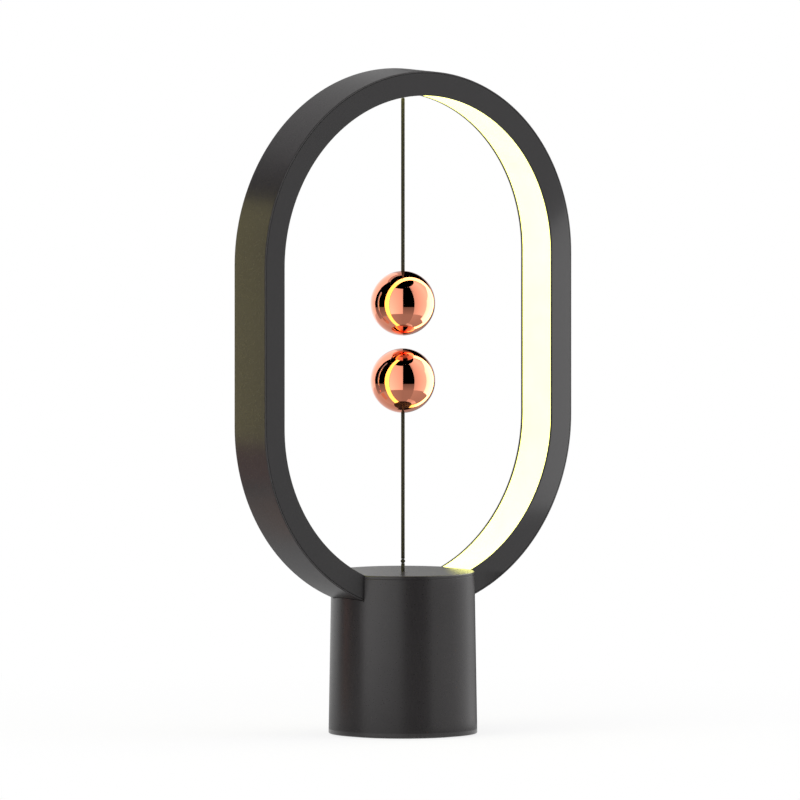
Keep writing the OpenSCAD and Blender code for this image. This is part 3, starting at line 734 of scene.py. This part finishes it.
class LAMP_OT_stage(bpy.types.Operator):
    """Set up the camera, the pale floor, the soft lights and the cards that gloss reflects"""

    bl_idname = "lamp.stage"
    bl_label = "Stage"

    def execute(self, context):
        studio = context.scene.lamp.studio
        context.scene.view_settings.view_transform = "Standard"
        self.camera(context.scene, studio)
        self.surroundings(context.scene, studio)
        self.floor(studio)
        for name, *place in LAMPS:
            soft_lamp(studio, name, *place)
        for name, *place in CARDS + NEAR_CARDS:
            card(studio, name, *place)
        ring_veil(context.scene.lamp.ring)
        return {"FINISHED"}

    def camera(self, scene, studio):
        """Straight lines of sight from the left of the front, a little from above."""
        back = bearing(studio, 0, math.degrees(studio.elevation))
        right = np.array([math.cos(studio.azimuth), -math.sin(studio.azimuth), 0])
        up = np.cross(right, -back)
        data = bpy.data.cameras.new("Camera")
        data.type = "ORTHO"
        data.ortho_scale = studio.view_height
        camera = bpy.data.objects.new("Camera", data)
        place = back * studio.distance + right * studio.aim_right + up * studio.aim_up
        camera.location = place + [0, 0, studio.aim_height]
        camera.rotation_mode = "QUATERNION"
        camera.rotation_quaternion = Matrix(np.stack([right, up, back], 1)).to_quaternion()
        scene.collection.objects.link(camera)
        scene.camera = camera

    def surroundings(self, scene, studio):
        """White to the eye and in gloss, softer as light."""
        world = bpy.data.worlds.new("Surroundings")
        world.use_nodes = True
        tree = world.node_tree
        tree.nodes.clear()
        plain = add_node(tree, "ShaderNodeBackground", {"Color": WHITE, "Strength": studio.sky})
        white = add_node(tree, "ShaderNodeBackground", {"Color": WHITE, "Strength": 1.0})
        mix = add_node(
            tree,
            "ShaderNodeMixShader",
            {0: shown(tree), 1: plain.outputs["Background"], 2: white.outputs["Background"]},
        )
        add_node(tree, "ShaderNodeOutputWorld", {"Surface": mix.outputs["Shader"]})
        scene.world = world

    def floor(self, studio):
        """A wide matt white floor. It keeps the lamp's shadow, and pales to pure white away
        from the lamp. From below it is clear, so that the lamp's foot is seen."""
        half = studio.floor_size / 2
        corners = [(-half, -half, 0), (half, -half, 0), (half, half, 0), (-half, half, 0)]
        floor = plain_mesh("floor", corners, [(0, 1, 2, 3)])
        material = bpy.data.materials.new("Floor, matt white")
        material.use_nodes = True
        tree = material.node_tree
        tree.nodes.clear()
        where = add_node(tree, "ShaderNodeTexCoord").outputs["Object"]
        away = add_node(tree, "ShaderNodeVectorMath", {0: where}, operation="LENGTH")
        pale = add_node(
            tree,
            "ShaderNodeMapRange",
            {
                "Value": away.outputs["Value"],
                "From Min": studio.shadow_from,
                "From Max": studio.shadow_to,
                "To Min": studio.floor_pale,
                "To Max": 1.0,
            },
            interpolation_type="SMOOTHSTEP",
        )
        part = add_node(
            tree,
            "ShaderNodeMath",
            {0: shown(tree), 1: pale.outputs["Result"]},
            operation="MULTIPLY",
        )
        paint = add_node(tree, "ShaderNodeBsdfDiffuse", {"Color": (0.8, 0.8, 0.8, 1.0)})
        white = add_node(tree, "ShaderNodeEmission", {"Color": WHITE, "Strength": 1.0})
        mix = add_node(
            tree,
            "ShaderNodeMixShader",
            {0: part.outputs["Value"], 1: paint.outputs["BSDF"], 2: white.outputs["Emission"]},
        )
        below = add_node(tree, "ShaderNodeNewGeometry").outputs["Backfacing"]
        clear = add_node(tree, "ShaderNodeBsdfTransparent").outputs["BSDF"]
        mix = add_node(tree, "ShaderNodeMixShader", {0: below, 1: mix.outputs["Shader"], 2: clear})
        add_node(tree, "ShaderNodeOutputMaterial", {"Surface": mix.outputs["Shader"]})
        floor.data.materials.append(material)
        floor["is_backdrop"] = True


def bearing(studio, turn, rise):
    """Unit vectors at degrees to the right of the camera's side and above the level.

    With a the angle to the right of the ring's front and e the one above the level, they are
    x = sin a cos e, y = -cos a cos e, z = sin e.
    """
    a, e = np.radians(turn) - studio.azimuth, np.radians(rise)
    return np.stack([np.sin(a) * np.cos(e), -np.cos(a) * np.cos(e), np.sin(e)], -1)


def shown(tree):
    """1 for what the camera sees, straight, through glass or in gloss, and 0 for plain light."""
    path = add_node(tree, "ShaderNodeLightPath").outputs
    gloss = add_node(
        tree,
        "ShaderNodeMath",
        {0: path["Is Glossy Ray"], 1: path["Is Transmission Ray"]},
        operation="MAXIMUM",
    ).outputs["Value"]
    return add_node(
        tree, "ShaderNodeMath", {0: path["Is Camera Ray"], 1: gloss}, operation="MAXIMUM"
    ).outputs["Value"]


# Name, degrees right and up, metres away, width and height, watts
LAMPS = (
    ("Left lamp", -50, 25, 0.9, 0.7, 0.7, 3.2),
    ("Right lamp", 80, 20, 0.9, 0.7, 0.7, 3.2),
    ("Top lamp", 0, 85, 0.9, 0.9, 0.9, 6.5),
)


def soft_lamp(studio, name, turn, rise, distance, width, height, power):
    """A soft square lamp aimed at the middle. Gloss shows the cards in its place."""
    away = bearing(studio, turn, rise)
    data = bpy.data.lights.new(name, "AREA")
    data.shape = "RECTANGLE"
    data.size, data.size_y, data.energy = width, height, power
    lamp = bpy.data.objects.new(name, data)
    lamp.location = away * distance + [0, 0, studio.aim_height]
    lamp.rotation_mode = "QUATERNION"
    lamp.rotation_quaternion = Vector(away).to_track_quat("Z", "Y")
    lamp.visible_glossy = False
    bpy.context.scene.collection.objects.link(lamp)


# Cards round a polished thing, as a photographer sets them: they make up the room that the
# copper mirrors. Name, degrees up from and to; then for the lower left, lower right, upper left
# and upper right corner the degrees to the right of the camera, and how light the card is there
DARK = (0.0, 0.0, 0.0, 0.0)
SNOW = "#ffffff"
CARDS = (
    ("Left panel", -30, 57, (-65, 0, -65, 0), (2.15, 1.05, 1.2, 0.95)),
    ("Right panel", -30, 62, (42, 100, 42, 100), (0.88, 1.6, 0.85, 1.45)),
    ("Right panel behind", -30, 62, (100, 145, 100, 145), (1.6, 1.1, 1.45, 1.1)),
    ("Far wall behind left", -4, 56, (-180, -119, -180, -117), (0.6, 0.6, 0.55, 0.6)),
    ("Dark gap in front", -9, 62, (0, 42, 0, 50), DARK),
    ("Dark gap at the left", -9, 57, (-119, -65, -117, -65), DARK),
    ("Dark wall behind right", 14, 57, (145, 180, 145, 180), DARK),
    ("Dim wall behind right", -6, 14, (150, 180, 150, 180), (0.45, 0.5, 0.45, 0.5)),
    ("Dark ceiling at the left", 57, 89, (-125, 0, -125, 0), DARK),
    ("Dark ceiling at the right", 62, 89, (0, 145, 0, 145), DARK),
    ("Dark ceiling behind", 57, 89, (145, 235, 145, 235), DARK),
    ("Dim floor in front", -33, -9, (0, 42, 0, 42), (0.38, 0.38, 0.2, 0.2)),
    ("Dim floor at the left", -33, -9, (-118, -65, -118, -65), (0.38, 0.38, 0.2, 0.2)),
    ("Dim floor behind right", -33, -6, (145, 180, 145, 180), (0.4, 0.4, 0.2, 0.2)),
    ("Grey cloth", -86, -33, (0, 42, 0, 42), (0.4, 0.4, 0.4, 0.4)),
    ("Grey cloth at the right", -86, -31, (42, 180, 42, 180), (0.45, 0.4, 0.6, 0.4)),
    ("Grey cloth at the left", -86, -31, (-118, 0, -118, 0), (0.6, 0.4, 0.7, 0.4)),
    ("Grey cloth behind left", -86, -28, (-180, -118, -180, -118), (0.4, 0.45, 0.75, 0.7)),
    ("Pale floor behind left", -28, -4, (-180, -118, -180, -118), (0.75, 0.65, 1.05, 1.05)),
)
# The same, nearer: how far off they stand, their colour, and whether they stand upright. Gloss
# alone sees them, and they are no piece of the lamp, also where they stand close to it. They paint
# reflections into the balls and the light and dark of the base's sheen.
LOW_BAND = (-73.6, -63.8)  # from the floor to the seam of the base
BY_THE_BASE = (0.04, SNOW, True)
NEAR_CARDS = (
    # By the left of the balls, on the far side of the ring
    ("Side light behind", -16, 33, (-180, -156, -180, -156), (0.5, 1.4, 0.5, 1.25), 0.25),
    ("Side light", -16, 33, (-156, -122, -156, -113), (1.4, 1.25, 1.25, 1.1), 0.25),
    ("Warm strip", -15, 28, (-100, -95, -100, -95), (3.6, 3.6, 3.6, 3.6), 0.244, "#fff1a8"),
    ("Red strip", -30, -15, (-100, -95, -100, -95), (1.2, 1.2, 1.2, 1.2), 0.244, "#ffb0a0"),
    ("Red cloth", -52, -34, (-104, -84, -104, -84), (0.7, 0.7, 0.7, 0.7), 0.7, "#ffd0ba"),
    # A painted reflection of a bright window at the right of the balls, close beside the ring, and
    # of the dark edge of its frame
    ("Window", -36.5, 15, (86.8, 129.9, 90, 129.9), (2.6, 4.0, 2.6, 4.0), 0.085, SNOW, True),
    ("Window above", 15, 36, (90, 129.9, 117, 129.9), (2.6, 4.0, 3.0, 4.0), 0.085, SNOW, True),
    ("Dark edge", -42, 40, (129.9, 140, 129.9, 140), DARK, 0.085, SNOW, True),
    # Behind the balls: painted reflections of a thin bluish line and of a pale wall at the upper
    # left
    ("Pale strip", -35, 40, (-91.5, -87, -91.5, -87), (0.3, 0.3, 0.9, 0.9), 0.045, "#dcebff", True),
    ("Pale screen", 16, 55.5, (-169, -109, -169, -109), (1.3, 1.3, 1.3, 1.3), 0.06, SNOW, True),
    # Round the base's right side, from its front to its back: the painted light and dark of the
    # base's sheen
    ("Base screen in front", *LOW_BAND, (30, 65, 30, 65), (0.8, 0.82, 0.8, 0.82), *BY_THE_BASE),
    ("Base screen at the right", *LOW_BAND, (65, 98, 65, 98), (0.88, 1.2, 0.88, 1.2), *BY_THE_BASE),
    ("Dark screen behind", *LOW_BAND, (128, 200, 128, 200), DARK, *BY_THE_BASE),
    ("Base screen behind", *LOW_BAND, (98, 128, 98, 128), (1.0, 0.05, 1.0, 0.05), *BY_THE_BASE),
)


def card(studio, name, low, high, turns, lights, distance=None, tint=SNOW, upright=False):
    """A patch of a sphere round the balls, which lies on the floor where it would pass below.

    The point at degrees a across and e up is c + r(e) d(a, e), where d is the direction and
    r(e) the smaller of the sphere's radius and the distance down to the floor; a and the light
    run evenly between the four corners. An upright card keeps its level distance instead, so
    r(e) is that distance over cos e.
    """
    s, t = np.linspace(0, 1, 13)[:, None], np.linspace(0, 1, 25)[None, :]
    spread = np.stack([(1 - s) * (1 - t), s * (1 - t), (1 - s) * t, s * t], -1)
    rise = low + (high - low) * t + 0 * s
    way = bearing(studio, spread @ np.array(turns, float), rise)
    drop = studio.ball_height - studio.cloth_height * (2 if distance else 1)
    r = np.minimum(distance or studio.card_distance, drop / np.maximum(-way[:, :, 2], 1e-6))
    r = distance / np.cos(np.radians(rise)) if upright else r
    points = way * r[:, :, None] + [0, 0, studio.ball_height]
    light = (spread @ np.array(lights, float)).ravel()
    faces = quads(*rise.shape, close_cols=False)[:, ::-1]
    gloss_only(name, points.reshape(-1, 3), faces, light, tint)


def gloss_only(name, points, faces, light, tint=SNOW, veil=False):
    """A glowing sheet that is there for gloss alone, seen from inside the ring of cards: it
    gives no light and no shadow. A veil adds its light to what is behind it."""
    obj = plain_mesh(name.replace(" ", "_"), points, faces)
    shade = obj.data.attributes.new("shade", "FLOAT", "POINT")
    shade.data.foreach_set("value", light)
    material = bpy.data.materials.new(name)
    material.use_nodes = True
    tree = material.node_tree
    tree.nodes.clear()
    level = add_node(tree, "ShaderNodeAttribute", attribute_name="shade").outputs["Fac"]
    glow = add_node(tree, "ShaderNodeEmission", {"Color": (*linear(tint), 1.0), "Strength": level})
    clear = add_node(tree, "ShaderNodeBsdfTransparent").outputs["BSDF"]
    surface = glow.outputs["Emission"]
    if veil:
        surface = add_node(tree, "ShaderNodeAddShader", {0: surface, 1: clear}).outputs["Shader"]
    outside = add_node(tree, "ShaderNodeNewGeometry").outputs["Backfacing"]
    seen = add_node(tree, "ShaderNodeMixShader", {0: outside, 1: surface, 2: clear})
    add_node(tree, "ShaderNodeOutputMaterial", {"Surface": seen.outputs["Shader"]})
    obj.data.materials.append(material)
    obj.visible_camera = obj.visible_diffuse = obj.visible_shadow = False
    obj.visible_transmission = obj.visible_volume_scatter = False
    obj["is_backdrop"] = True


def ring_veil(ring, clear_of=0.3 * MM):
    """A glowing veil before the diffuser's right half, seen by gloss alone: a painted reflection
    that makes the diffuser's glow look whiter in the balls than on the left. It is a help for their
    mirror image and no piece of the lamp. It follows the oval at x = r cos a, z = c + r sin a, with
    a from -60 to 120 degrees."""
    r = RING_R - ring.width + ring.recess - clear_of
    a = np.radians(np.concatenate([np.linspace(-60, 0, 21), np.linspace(0, 120, 41)]))
    centre = np.repeat([LOWER_C, UPPER_C], [21, 41])
    y = np.array([-1, 1]) * (RING_HALF - ring.lip)
    x, z = (r * np.cos(a))[:, None] + 0 * y, (centre + r * np.sin(a))[:, None] + 0 * y
    points = np.stack([x, y + 0 * x, z], -1).reshape(-1, 3)
    # painted reflection: how much whiter the diffuser looks in the balls along the veil
    light = np.interp(np.degrees(a), (-60, -45, 20, 90, 120), (0.0, 2.2, 2.4, 1.3, 0.4))
    faces = quads(len(a), 2, close_cols=False)
    gloss_only("Ring veil", points, faces, np.repeat(light, 2), veil=True)


class LAMP_OT_finishes(bpy.types.Operator):
    """Make the materials and give them to the nodes that stay"""

    bl_idname = "lamp.finishes"
    bl_label = "Finishes"

    def execute(self, context):
        made = lamp_materials(context.scene.lamp.finishes)
        frame["made"] = {slot: material.name for slot, material in made.items()}
        braid = braided_cord("Braided polyester cord", tuple(context.scene.lamp.finishes.cord))
        frame["made"]["braid"] = braid.name
        for part in frame["record"]["subparts"]:
            node = frame["nodes"][part["node"]]
            node.data.materials.clear()
            node.data.materials.append(made[part["material_slot"]])
        return {"FINISHED"}


class LAMP_OT_cords(bpy.types.Operator):
    """Draw the two free cords, their beads and the pulled end"""

    bl_idname = "lamp.cords"
    bl_label = "Cords"

    def execute(self, context):
        sizes = context.scene.lamp.balls
        strands = 1 / sizes.strand
        braid = material_for("braid")
        # The routes of the cords' solids, from the exit to the far end, in millimetres
        upper_route = np.array([[0, 0, z] for z in (223.4, 222.0, *range(219, 158, -3), 156.2)])
        lower_route = np.array([[0, 0, z] for z in (61.6, 63.0, *range(66, 118, 3), 119.4)])
        for side, route in (("upper", upper_route * MM), ("lower", lower_route * MM)):
            cord = make(f"{side}_braided_cord", tube(route, sizes.cord / 2))
            cord = round_the_path(cord, strands)
            dress(cord, braid, f"{side}_hanger", "cord", f"{side}_cord")
            # The bead is a ball: r sin t out and r cos t up, turned about Z
            low, high = span(f"{side}_cord_bend")
            middle = (low + high) / 2
            t = np.linspace(0, np.pi, 17)
            bead = turned(np.stack([np.sin(t), np.cos(t)], 1) * sizes.bead_r, 24, middle, False)
            bead = round_the_path(make(f"{side}_cord_bead", bead), strands)
            dress(bead, braid, f"{side}_bend", "cord", f"{side}_cord_bend")
        self.pulled_end(sizes, strands, braid)
        self.tail(sizes, strands, braid)
        return {"FINISHED"}

    def pulled_end(self, sizes, strands, braid):
        """The cord below the lower bead, with a knot of two turns under the rocker.

        The knot is a ball whose radius is r (0.86 + 0.14 cos(2 t + 3 h) sin^2 h), with t round
        it and h over it.
        """
        low, high = span("pull_cord")
        knot_z = low[2] + sizes.knot_r
        h = np.linspace(0, np.pi, 25)[:, None]
        t = np.linspace(0, 2 * np.pi, 32, endpoint=False)[None, :]
        r = sizes.knot_r * (0.86 + 0.14 * np.cos(2 * t + 3 * h) * np.sin(h) ** 2)
        knot = np.stack([r * np.sin(h) * np.cos(t), r * np.sin(h) * np.sin(t), r * np.cos(h)], -1)
        knot = (knot + [0, 0, knot_z]).reshape(-1, 3), quads(*r.shape).tolist()
        stem = tube([(0, 0, z) for z in np.linspace(knot_z, high[2], 12)], sizes.cord / 2)
        end = round_the_path(make("pulled_cord_end", stem, knot), strands)
        dress(end, braid, "pull_cord", "cord", "pull_cord")

    def tail(self, sizes, strands, braid):
        """The cord above the upper bead: a loop round its pin and the stub through the eyelet.

        With R the loop's radius and r the cord's, the loop is x = (R + r cos s) cos t,
        y = r sin s, z = c + (R + r cos s) sin t.
        """
        low, high = span("upper_cord_tail")
        loop_r = (high[0] - low[0]) / 2 - sizes.cord / 2
        loop_z = high[2] - sizes.cord / 2 - loop_r
        t = np.linspace(0, 2 * np.pi, 40, endpoint=False)[:, None]
        s = np.linspace(0, 2 * np.pi, 16, endpoint=False)[None, :]
        out = loop_r + sizes.cord / 2 * np.cos(s)
        ring = np.stack(
            [out * np.cos(t), sizes.cord / 2 * np.sin(s) + 0 * t, loop_z + out * np.sin(t)], -1
        )
        loop = ring.reshape(-1, 3), quads(*ring.shape[:2], close_rows=True).tolist()
        stub = tube([(0, 0, z) for z in np.linspace(low[2], loop_z - loop_r, 8)], sizes.cord / 2)
        tail = round_the_path(make("upper_cord_loop", stub, loop), strands)
        dress(tail, braid, "lamp", "cord", "upper_cord_tail")


class LAMP_OT_ring(bpy.types.Operator):
    """Shape the ring's channel, front cover and diffuser"""

    bl_idname = "lamp.ring"
    bl_label = "Ring"

    def execute(self, context):
        ring = context.scene.lamp.ring
        inner = RING_R - ring.width
        seat = inner + ring.recess + ring.opal + ring.gap
        self.channel(ring, inner, seat)
        self.cover(ring, inner, seat)
        self.diffuser(ring, inner)
        return {"FINISHED"}

    def channel(self, ring, inner, seat):
        """Outer band, rear wall and the thin rim round the cover, one moulding: its section
        carried round the oval. The boss is a circle about the pin's height, carried along Y."""
        front, back = -RING_HALF, RING_HALF
        band_ri, rim_ri = RING_R - ring.band, RING_R - ring.rim
        corners = [
            (RING_R, front), (RING_R, back), (inner, back), (inner, back - ring.lip),
            (seat, back - ring.lip), (seat, back - ring.wall), (band_ri, back - ring.wall),
            (band_ri, front + ring.wall), (rim_ri, front + ring.wall), (rim_ri, front),
        ]  # fmt: skip
        small = SMALL_EDGE
        radii = [ring.front_edge, ring.edge, 2 * small, 2 * small, *[small] * 5, 2 * small]
        channel = make("ring_band", oval_sweep(rounded(corners, radii), ring.steps))
        below = RING_LOW[2] - MM
        leads = (span("wire_connector")[0] + span("wire_connector")[1]) / 2
        cord_hole = drill(ring.cord_hole, (0, 0, below))
        cut_out(channel, cord_hole, drill(ring.lead_hole, (leads[0], leads[1], below)))
        low, high = span("upper_anchor_pin")
        t = np.linspace(0, 2 * np.pi, 24, endpoint=False)
        boss = np.stack([np.cos(t), np.sin(t)], 1) * ring.boss_r + [0, (low[2] + high[2]) / 2]
        boss = make("ring_boss", prism(boss, high[1] - ring.boss_l, back - ring.lip))
        dress(boss, material_for("black_plastic"), "lamp", "black_plastic")
        dress(channel, material_for("black_plastic"), "lamp", "black_plastic", "ring_channel")

    def cover(self, ring, inner, seat):
        """Flat oval plate inside the rim: its stepped section carried round the oval."""
        outer = RING_R - ring.rim - ring.gap
        front = -RING_HALF
        corners = [
            (outer, front), (outer, front + ring.wall), (seat, front + ring.wall),
            (seat, front + ring.lip), (inner, front + ring.lip), (inner, front),
        ]  # fmt: skip
        small = SMALL_EDGE
        radii = [2 * small, small, small, small, 2 * small, 3 * small]
        cover = make("ring_cover", oval_sweep(rounded(corners, radii), ring.steps))
        dress(cover, material_for("cover_plastic"), "lamp", "cover_plastic", "front_cover")

    def diffuser(self, ring, inner):
        """Band of opal sheet: its thin section carried round the oval, open at the foot, with
        a hole for the eyelet at its top."""
        low, high = span("diffuser")
        ri = inner + ring.recess
        corners = [(ri, low[1]), (ri, high[1]), (ri + ring.opal, high[1]), (ri + ring.opal, low[1])]
        band = oval_sweep(rounded(corners, 0.1 * MM), ring.steps, ring.opal_end)
        band = make("opal_band", band)
        eyelet = span("upper_eyelet")
        r = (eyelet[1][0] - eyelet[0][0]) / 2 + 0.02 * MM
        z = eyelet[0][2] - MM
        cut_out(band, drill(r, (0, 0, z), 32))
        dress(band, material_for("opal_acrylic"), "lamp", "opal_acrylic", "diffuser")


def under_oval(r, level, reach=CUT_REACH):
    """Outline between the oval's lower arc, z = c - sqrt(r^2 - x^2), and a level line."""
    x = np.linspace(-reach, reach, 121)
    arc = np.stack([x, LOWER_C - np.sqrt(r**2 - x**2)], 1)
    return np.concatenate([arc, [[reach, level], [-reach, level]]])


class LAMP_OT_base(bpy.types.Operator):
    """Shape the base shell and its cap"""

    bl_idname = "lamp.base"
    bl_label = "Base"

    def execute(self, context):
        base = context.scene.lamp.base
        self.shell(base)
        self.cap(base, context.scene.lamp.ring)
        return {"FINISHED"}

    def shell(self, base):
        """Tapered tube, open below, with a notch where the ring passes and the inlet's hole.

        Below the shoulder the bore widens as the outside does, by the draft. The inlet's outline
        is two half circles, x = w + r cos t and z = h + r sin t at the right, and the same
        turned by half a turn at the left.
        """
        bottom, seam = SHELL_LOW[2], SHELL_HIGH[2]
        low_r, high_r = SHELL_R_BOTTOM, SHELL_R_TOP
        draft = (low_r - high_r) / (seam - bottom)
        lower_bore = high_r - base.wall + draft * (seam - base.shoulder_z)
        upper_bore = high_r - base.wall - base.shoulder
        corners = [
            (low_r, bottom), (high_r, seam), (upper_bore, seam), (upper_bore, base.shoulder_z),
            (lower_bore, base.shoulder_z), (low_r - base.wall, bottom),
        ]  # fmt: skip
        small = SMALL_EDGE
        radii = [base.foot_edge, base.seam_edge, small, small, small, 2 * small]
        parts = [turned(rounded(corners, radii), base.steps)]
        z0 = span("bottom_cover")[1][2]
        for turn in np.radians([45, 135, 225, 315]):
            c, s = math.cos(turn), math.sin(turn)
            centre = np.array([c, s, 0]) * base.post_ring
            post = [(base.screw_r, z0), (base.post_r, z0), (base.post_r, base.post_top)]
            parts.append(turned([*post, (base.screw_r, base.post_top)], 24, centre))
            web, faces = block(
                (base.post_r - base.web_bite, -base.web / 2, z0),
                (low_r - base.post_ring - base.wall / 2, base.web / 2, base.post_top),
            )
            spin = np.array([[c, s, 0], [-s, c, 0], [0, 0, 1]])
            parts.append((web @ spin + centre, faces))
        shell = make("base_tube", *parts)
        slot_y = RING_HALF + base.gap
        t = np.linspace(-np.pi / 2, np.pi / 2, 13)
        end = np.stack([base.inlet_half + base.inlet_r * np.cos(t), base.inlet_r * np.sin(t)], 1)
        inlet = np.concatenate([end, -end]) + [0, base.inlet_z]
        notch = under_oval(RING_R + base.gap, OVER_THE_SHELL)
        inlet = prism(inlet, base.inlet_in, CUT_REACH)
        cut_out(shell, prism(notch, -slot_y, slot_y), inlet)
        dress(shell, material_for("black_plastic"), "lamp", "black_plastic", "base_shell")

    def cap(self, base, ring):
        """Disc with a rounded edge and a spigot, its section turned about Z, with a boss at the
        front and at the back, cut away where the ring passes."""
        top, seam = CAP_HIGH[2], SHELL_HIGH[2]
        spigot_r = SHELL_R_TOP - base.wall - base.shoulder - base.gap
        corners = [
            (base.guide_r, seam - base.spigot), (spigot_r, seam - base.spigot), (spigot_r, seam),
            (SHELL_R_TOP, seam), (SHELL_R_TOP, top), (base.guide_r, top),
        ]  # fmt: skip
        small = SMALL_EDGE
        radii = [small, 2 * small, small, base.seam_edge, base.cap_edge, small]
        parts = [turned(rounded(corners, radii, steps=6), base.steps)]
        for side in (-1, 1):
            low, high = CAP_LOW[2], seam - base.spigot + small
            boss = [(base.screw_r, low), (base.post_r, low), (base.post_r, high)]
            boss.append((base.screw_r, high))
            parts.append(turned(boss, 32, (0, side * base.boss_y, 0)))
        cap = make("base_cap", *parts)
        under = under_oval(RING_R - ring.width - base.gap, UNDER_THE_CAP)
        slot_y = RING_HALF + base.gap
        cut_out(cap, prism(under, -slot_y, slot_y))
        dress(cap, material_for("black_plastic"), "lamp", "black_plastic", "top_cap")


class LAMP_OT_balls(bpy.types.Operator):
    """Shape the two polished balls"""

    bl_idname = "lamp.balls"
    bl_label = "Balls"

    def execute(self, context):
        # A ball is r sin t out and r cos t up, turned about Z, with t from asin(h / r) at the
        # edge of the cord's hole, of radius h, to pi at the far pole
        sizes = context.scene.lamp.balls
        for side, up in (("upper", 1), ("lower", -1)):
            low, high = span(f"{side}_ball_cord_half")
            r = (high[0] - low[0]) / 2
            middle = low[2] if up > 0 else high[2]
            start = math.asin(sizes.hole_r / r)
            t = np.linspace(start, np.pi, 97)
            round_part = np.stack([r * np.sin(t), r * np.cos(t)], 1)
            floor_z = round_part[0, 1] - sizes.hole_depth
            hole = [(0, floor_z), (sizes.hole_r, floor_z)]
            profile = np.concatenate([hole, round_part]) * [1, up]
            ball = make(f"{side}_ball", turned(profile, 128, (0, 0, middle), closed=False))
            ball.data.set_sharp_from_angle(angle=SHARP)
            nodes = [f"{side}_ball_cord_half", f"{side}_ball_magnet_half"]
            dress(ball, material_for("copper_plate"), f"{side}_ball", "copper_plate", *nodes)
        return {"FINISHED"}


class LAMP_PT_panel(bpy.types.Panel):
    """Lists the lamp's parts, in the order that they are made"""

    bl_label = "Balance lamp"
    bl_idname = "LAMP_PT_panel"
    bl_space_type = "VIEW_3D"
    bl_region_type = "UI"
    bl_category = "Lamp"

    def draw(self, context):
        for operator in OPERATORS:
            self.layout.operator(operator.bl_idname)


GROUPS = (StudioSizes, RingSizes, BaseSizes, BallSizes, Finishes, LampSettings)
OPERATORS = (
    LAMP_OT_stage,
    LAMP_OT_finishes,
    LAMP_OT_cords,
    LAMP_OT_ring,
    LAMP_OT_base,
    LAMP_OT_balls,
)


def register():
    for cls in (*GROUPS, *OPERATORS, LAMP_PT_panel):
        bpy.utils.register_class(cls)
    bpy.types.Scene.lamp = bpy.props.PointerProperty(type=LampSettings)


def unregister():
    del bpy.types.Scene.lamp
    for cls in reversed((*GROUPS, *OPERATORS, LAMP_PT_panel)):
        bpy.utils.unregister_class(cls)


def main():
    """Builds the whole scene and works out the frame's box and the dressed lamp's box."""
    register()
    bpy.ops.lamp.stage()
    bpy.ops.lamp.finishes()
    bpy.ops.lamp.cords()
    bpy.ops.lamp.ring()
    bpy.ops.lamp.base()
    bpy.ops.lamp.balls()
    boxes = {"frame": FRAME_BOX, "dressed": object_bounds()}
    boxes = {name: [list(low), list(high)] for name, (low, high) in boxes.items()}


if __name__ == "__main__":
    main()
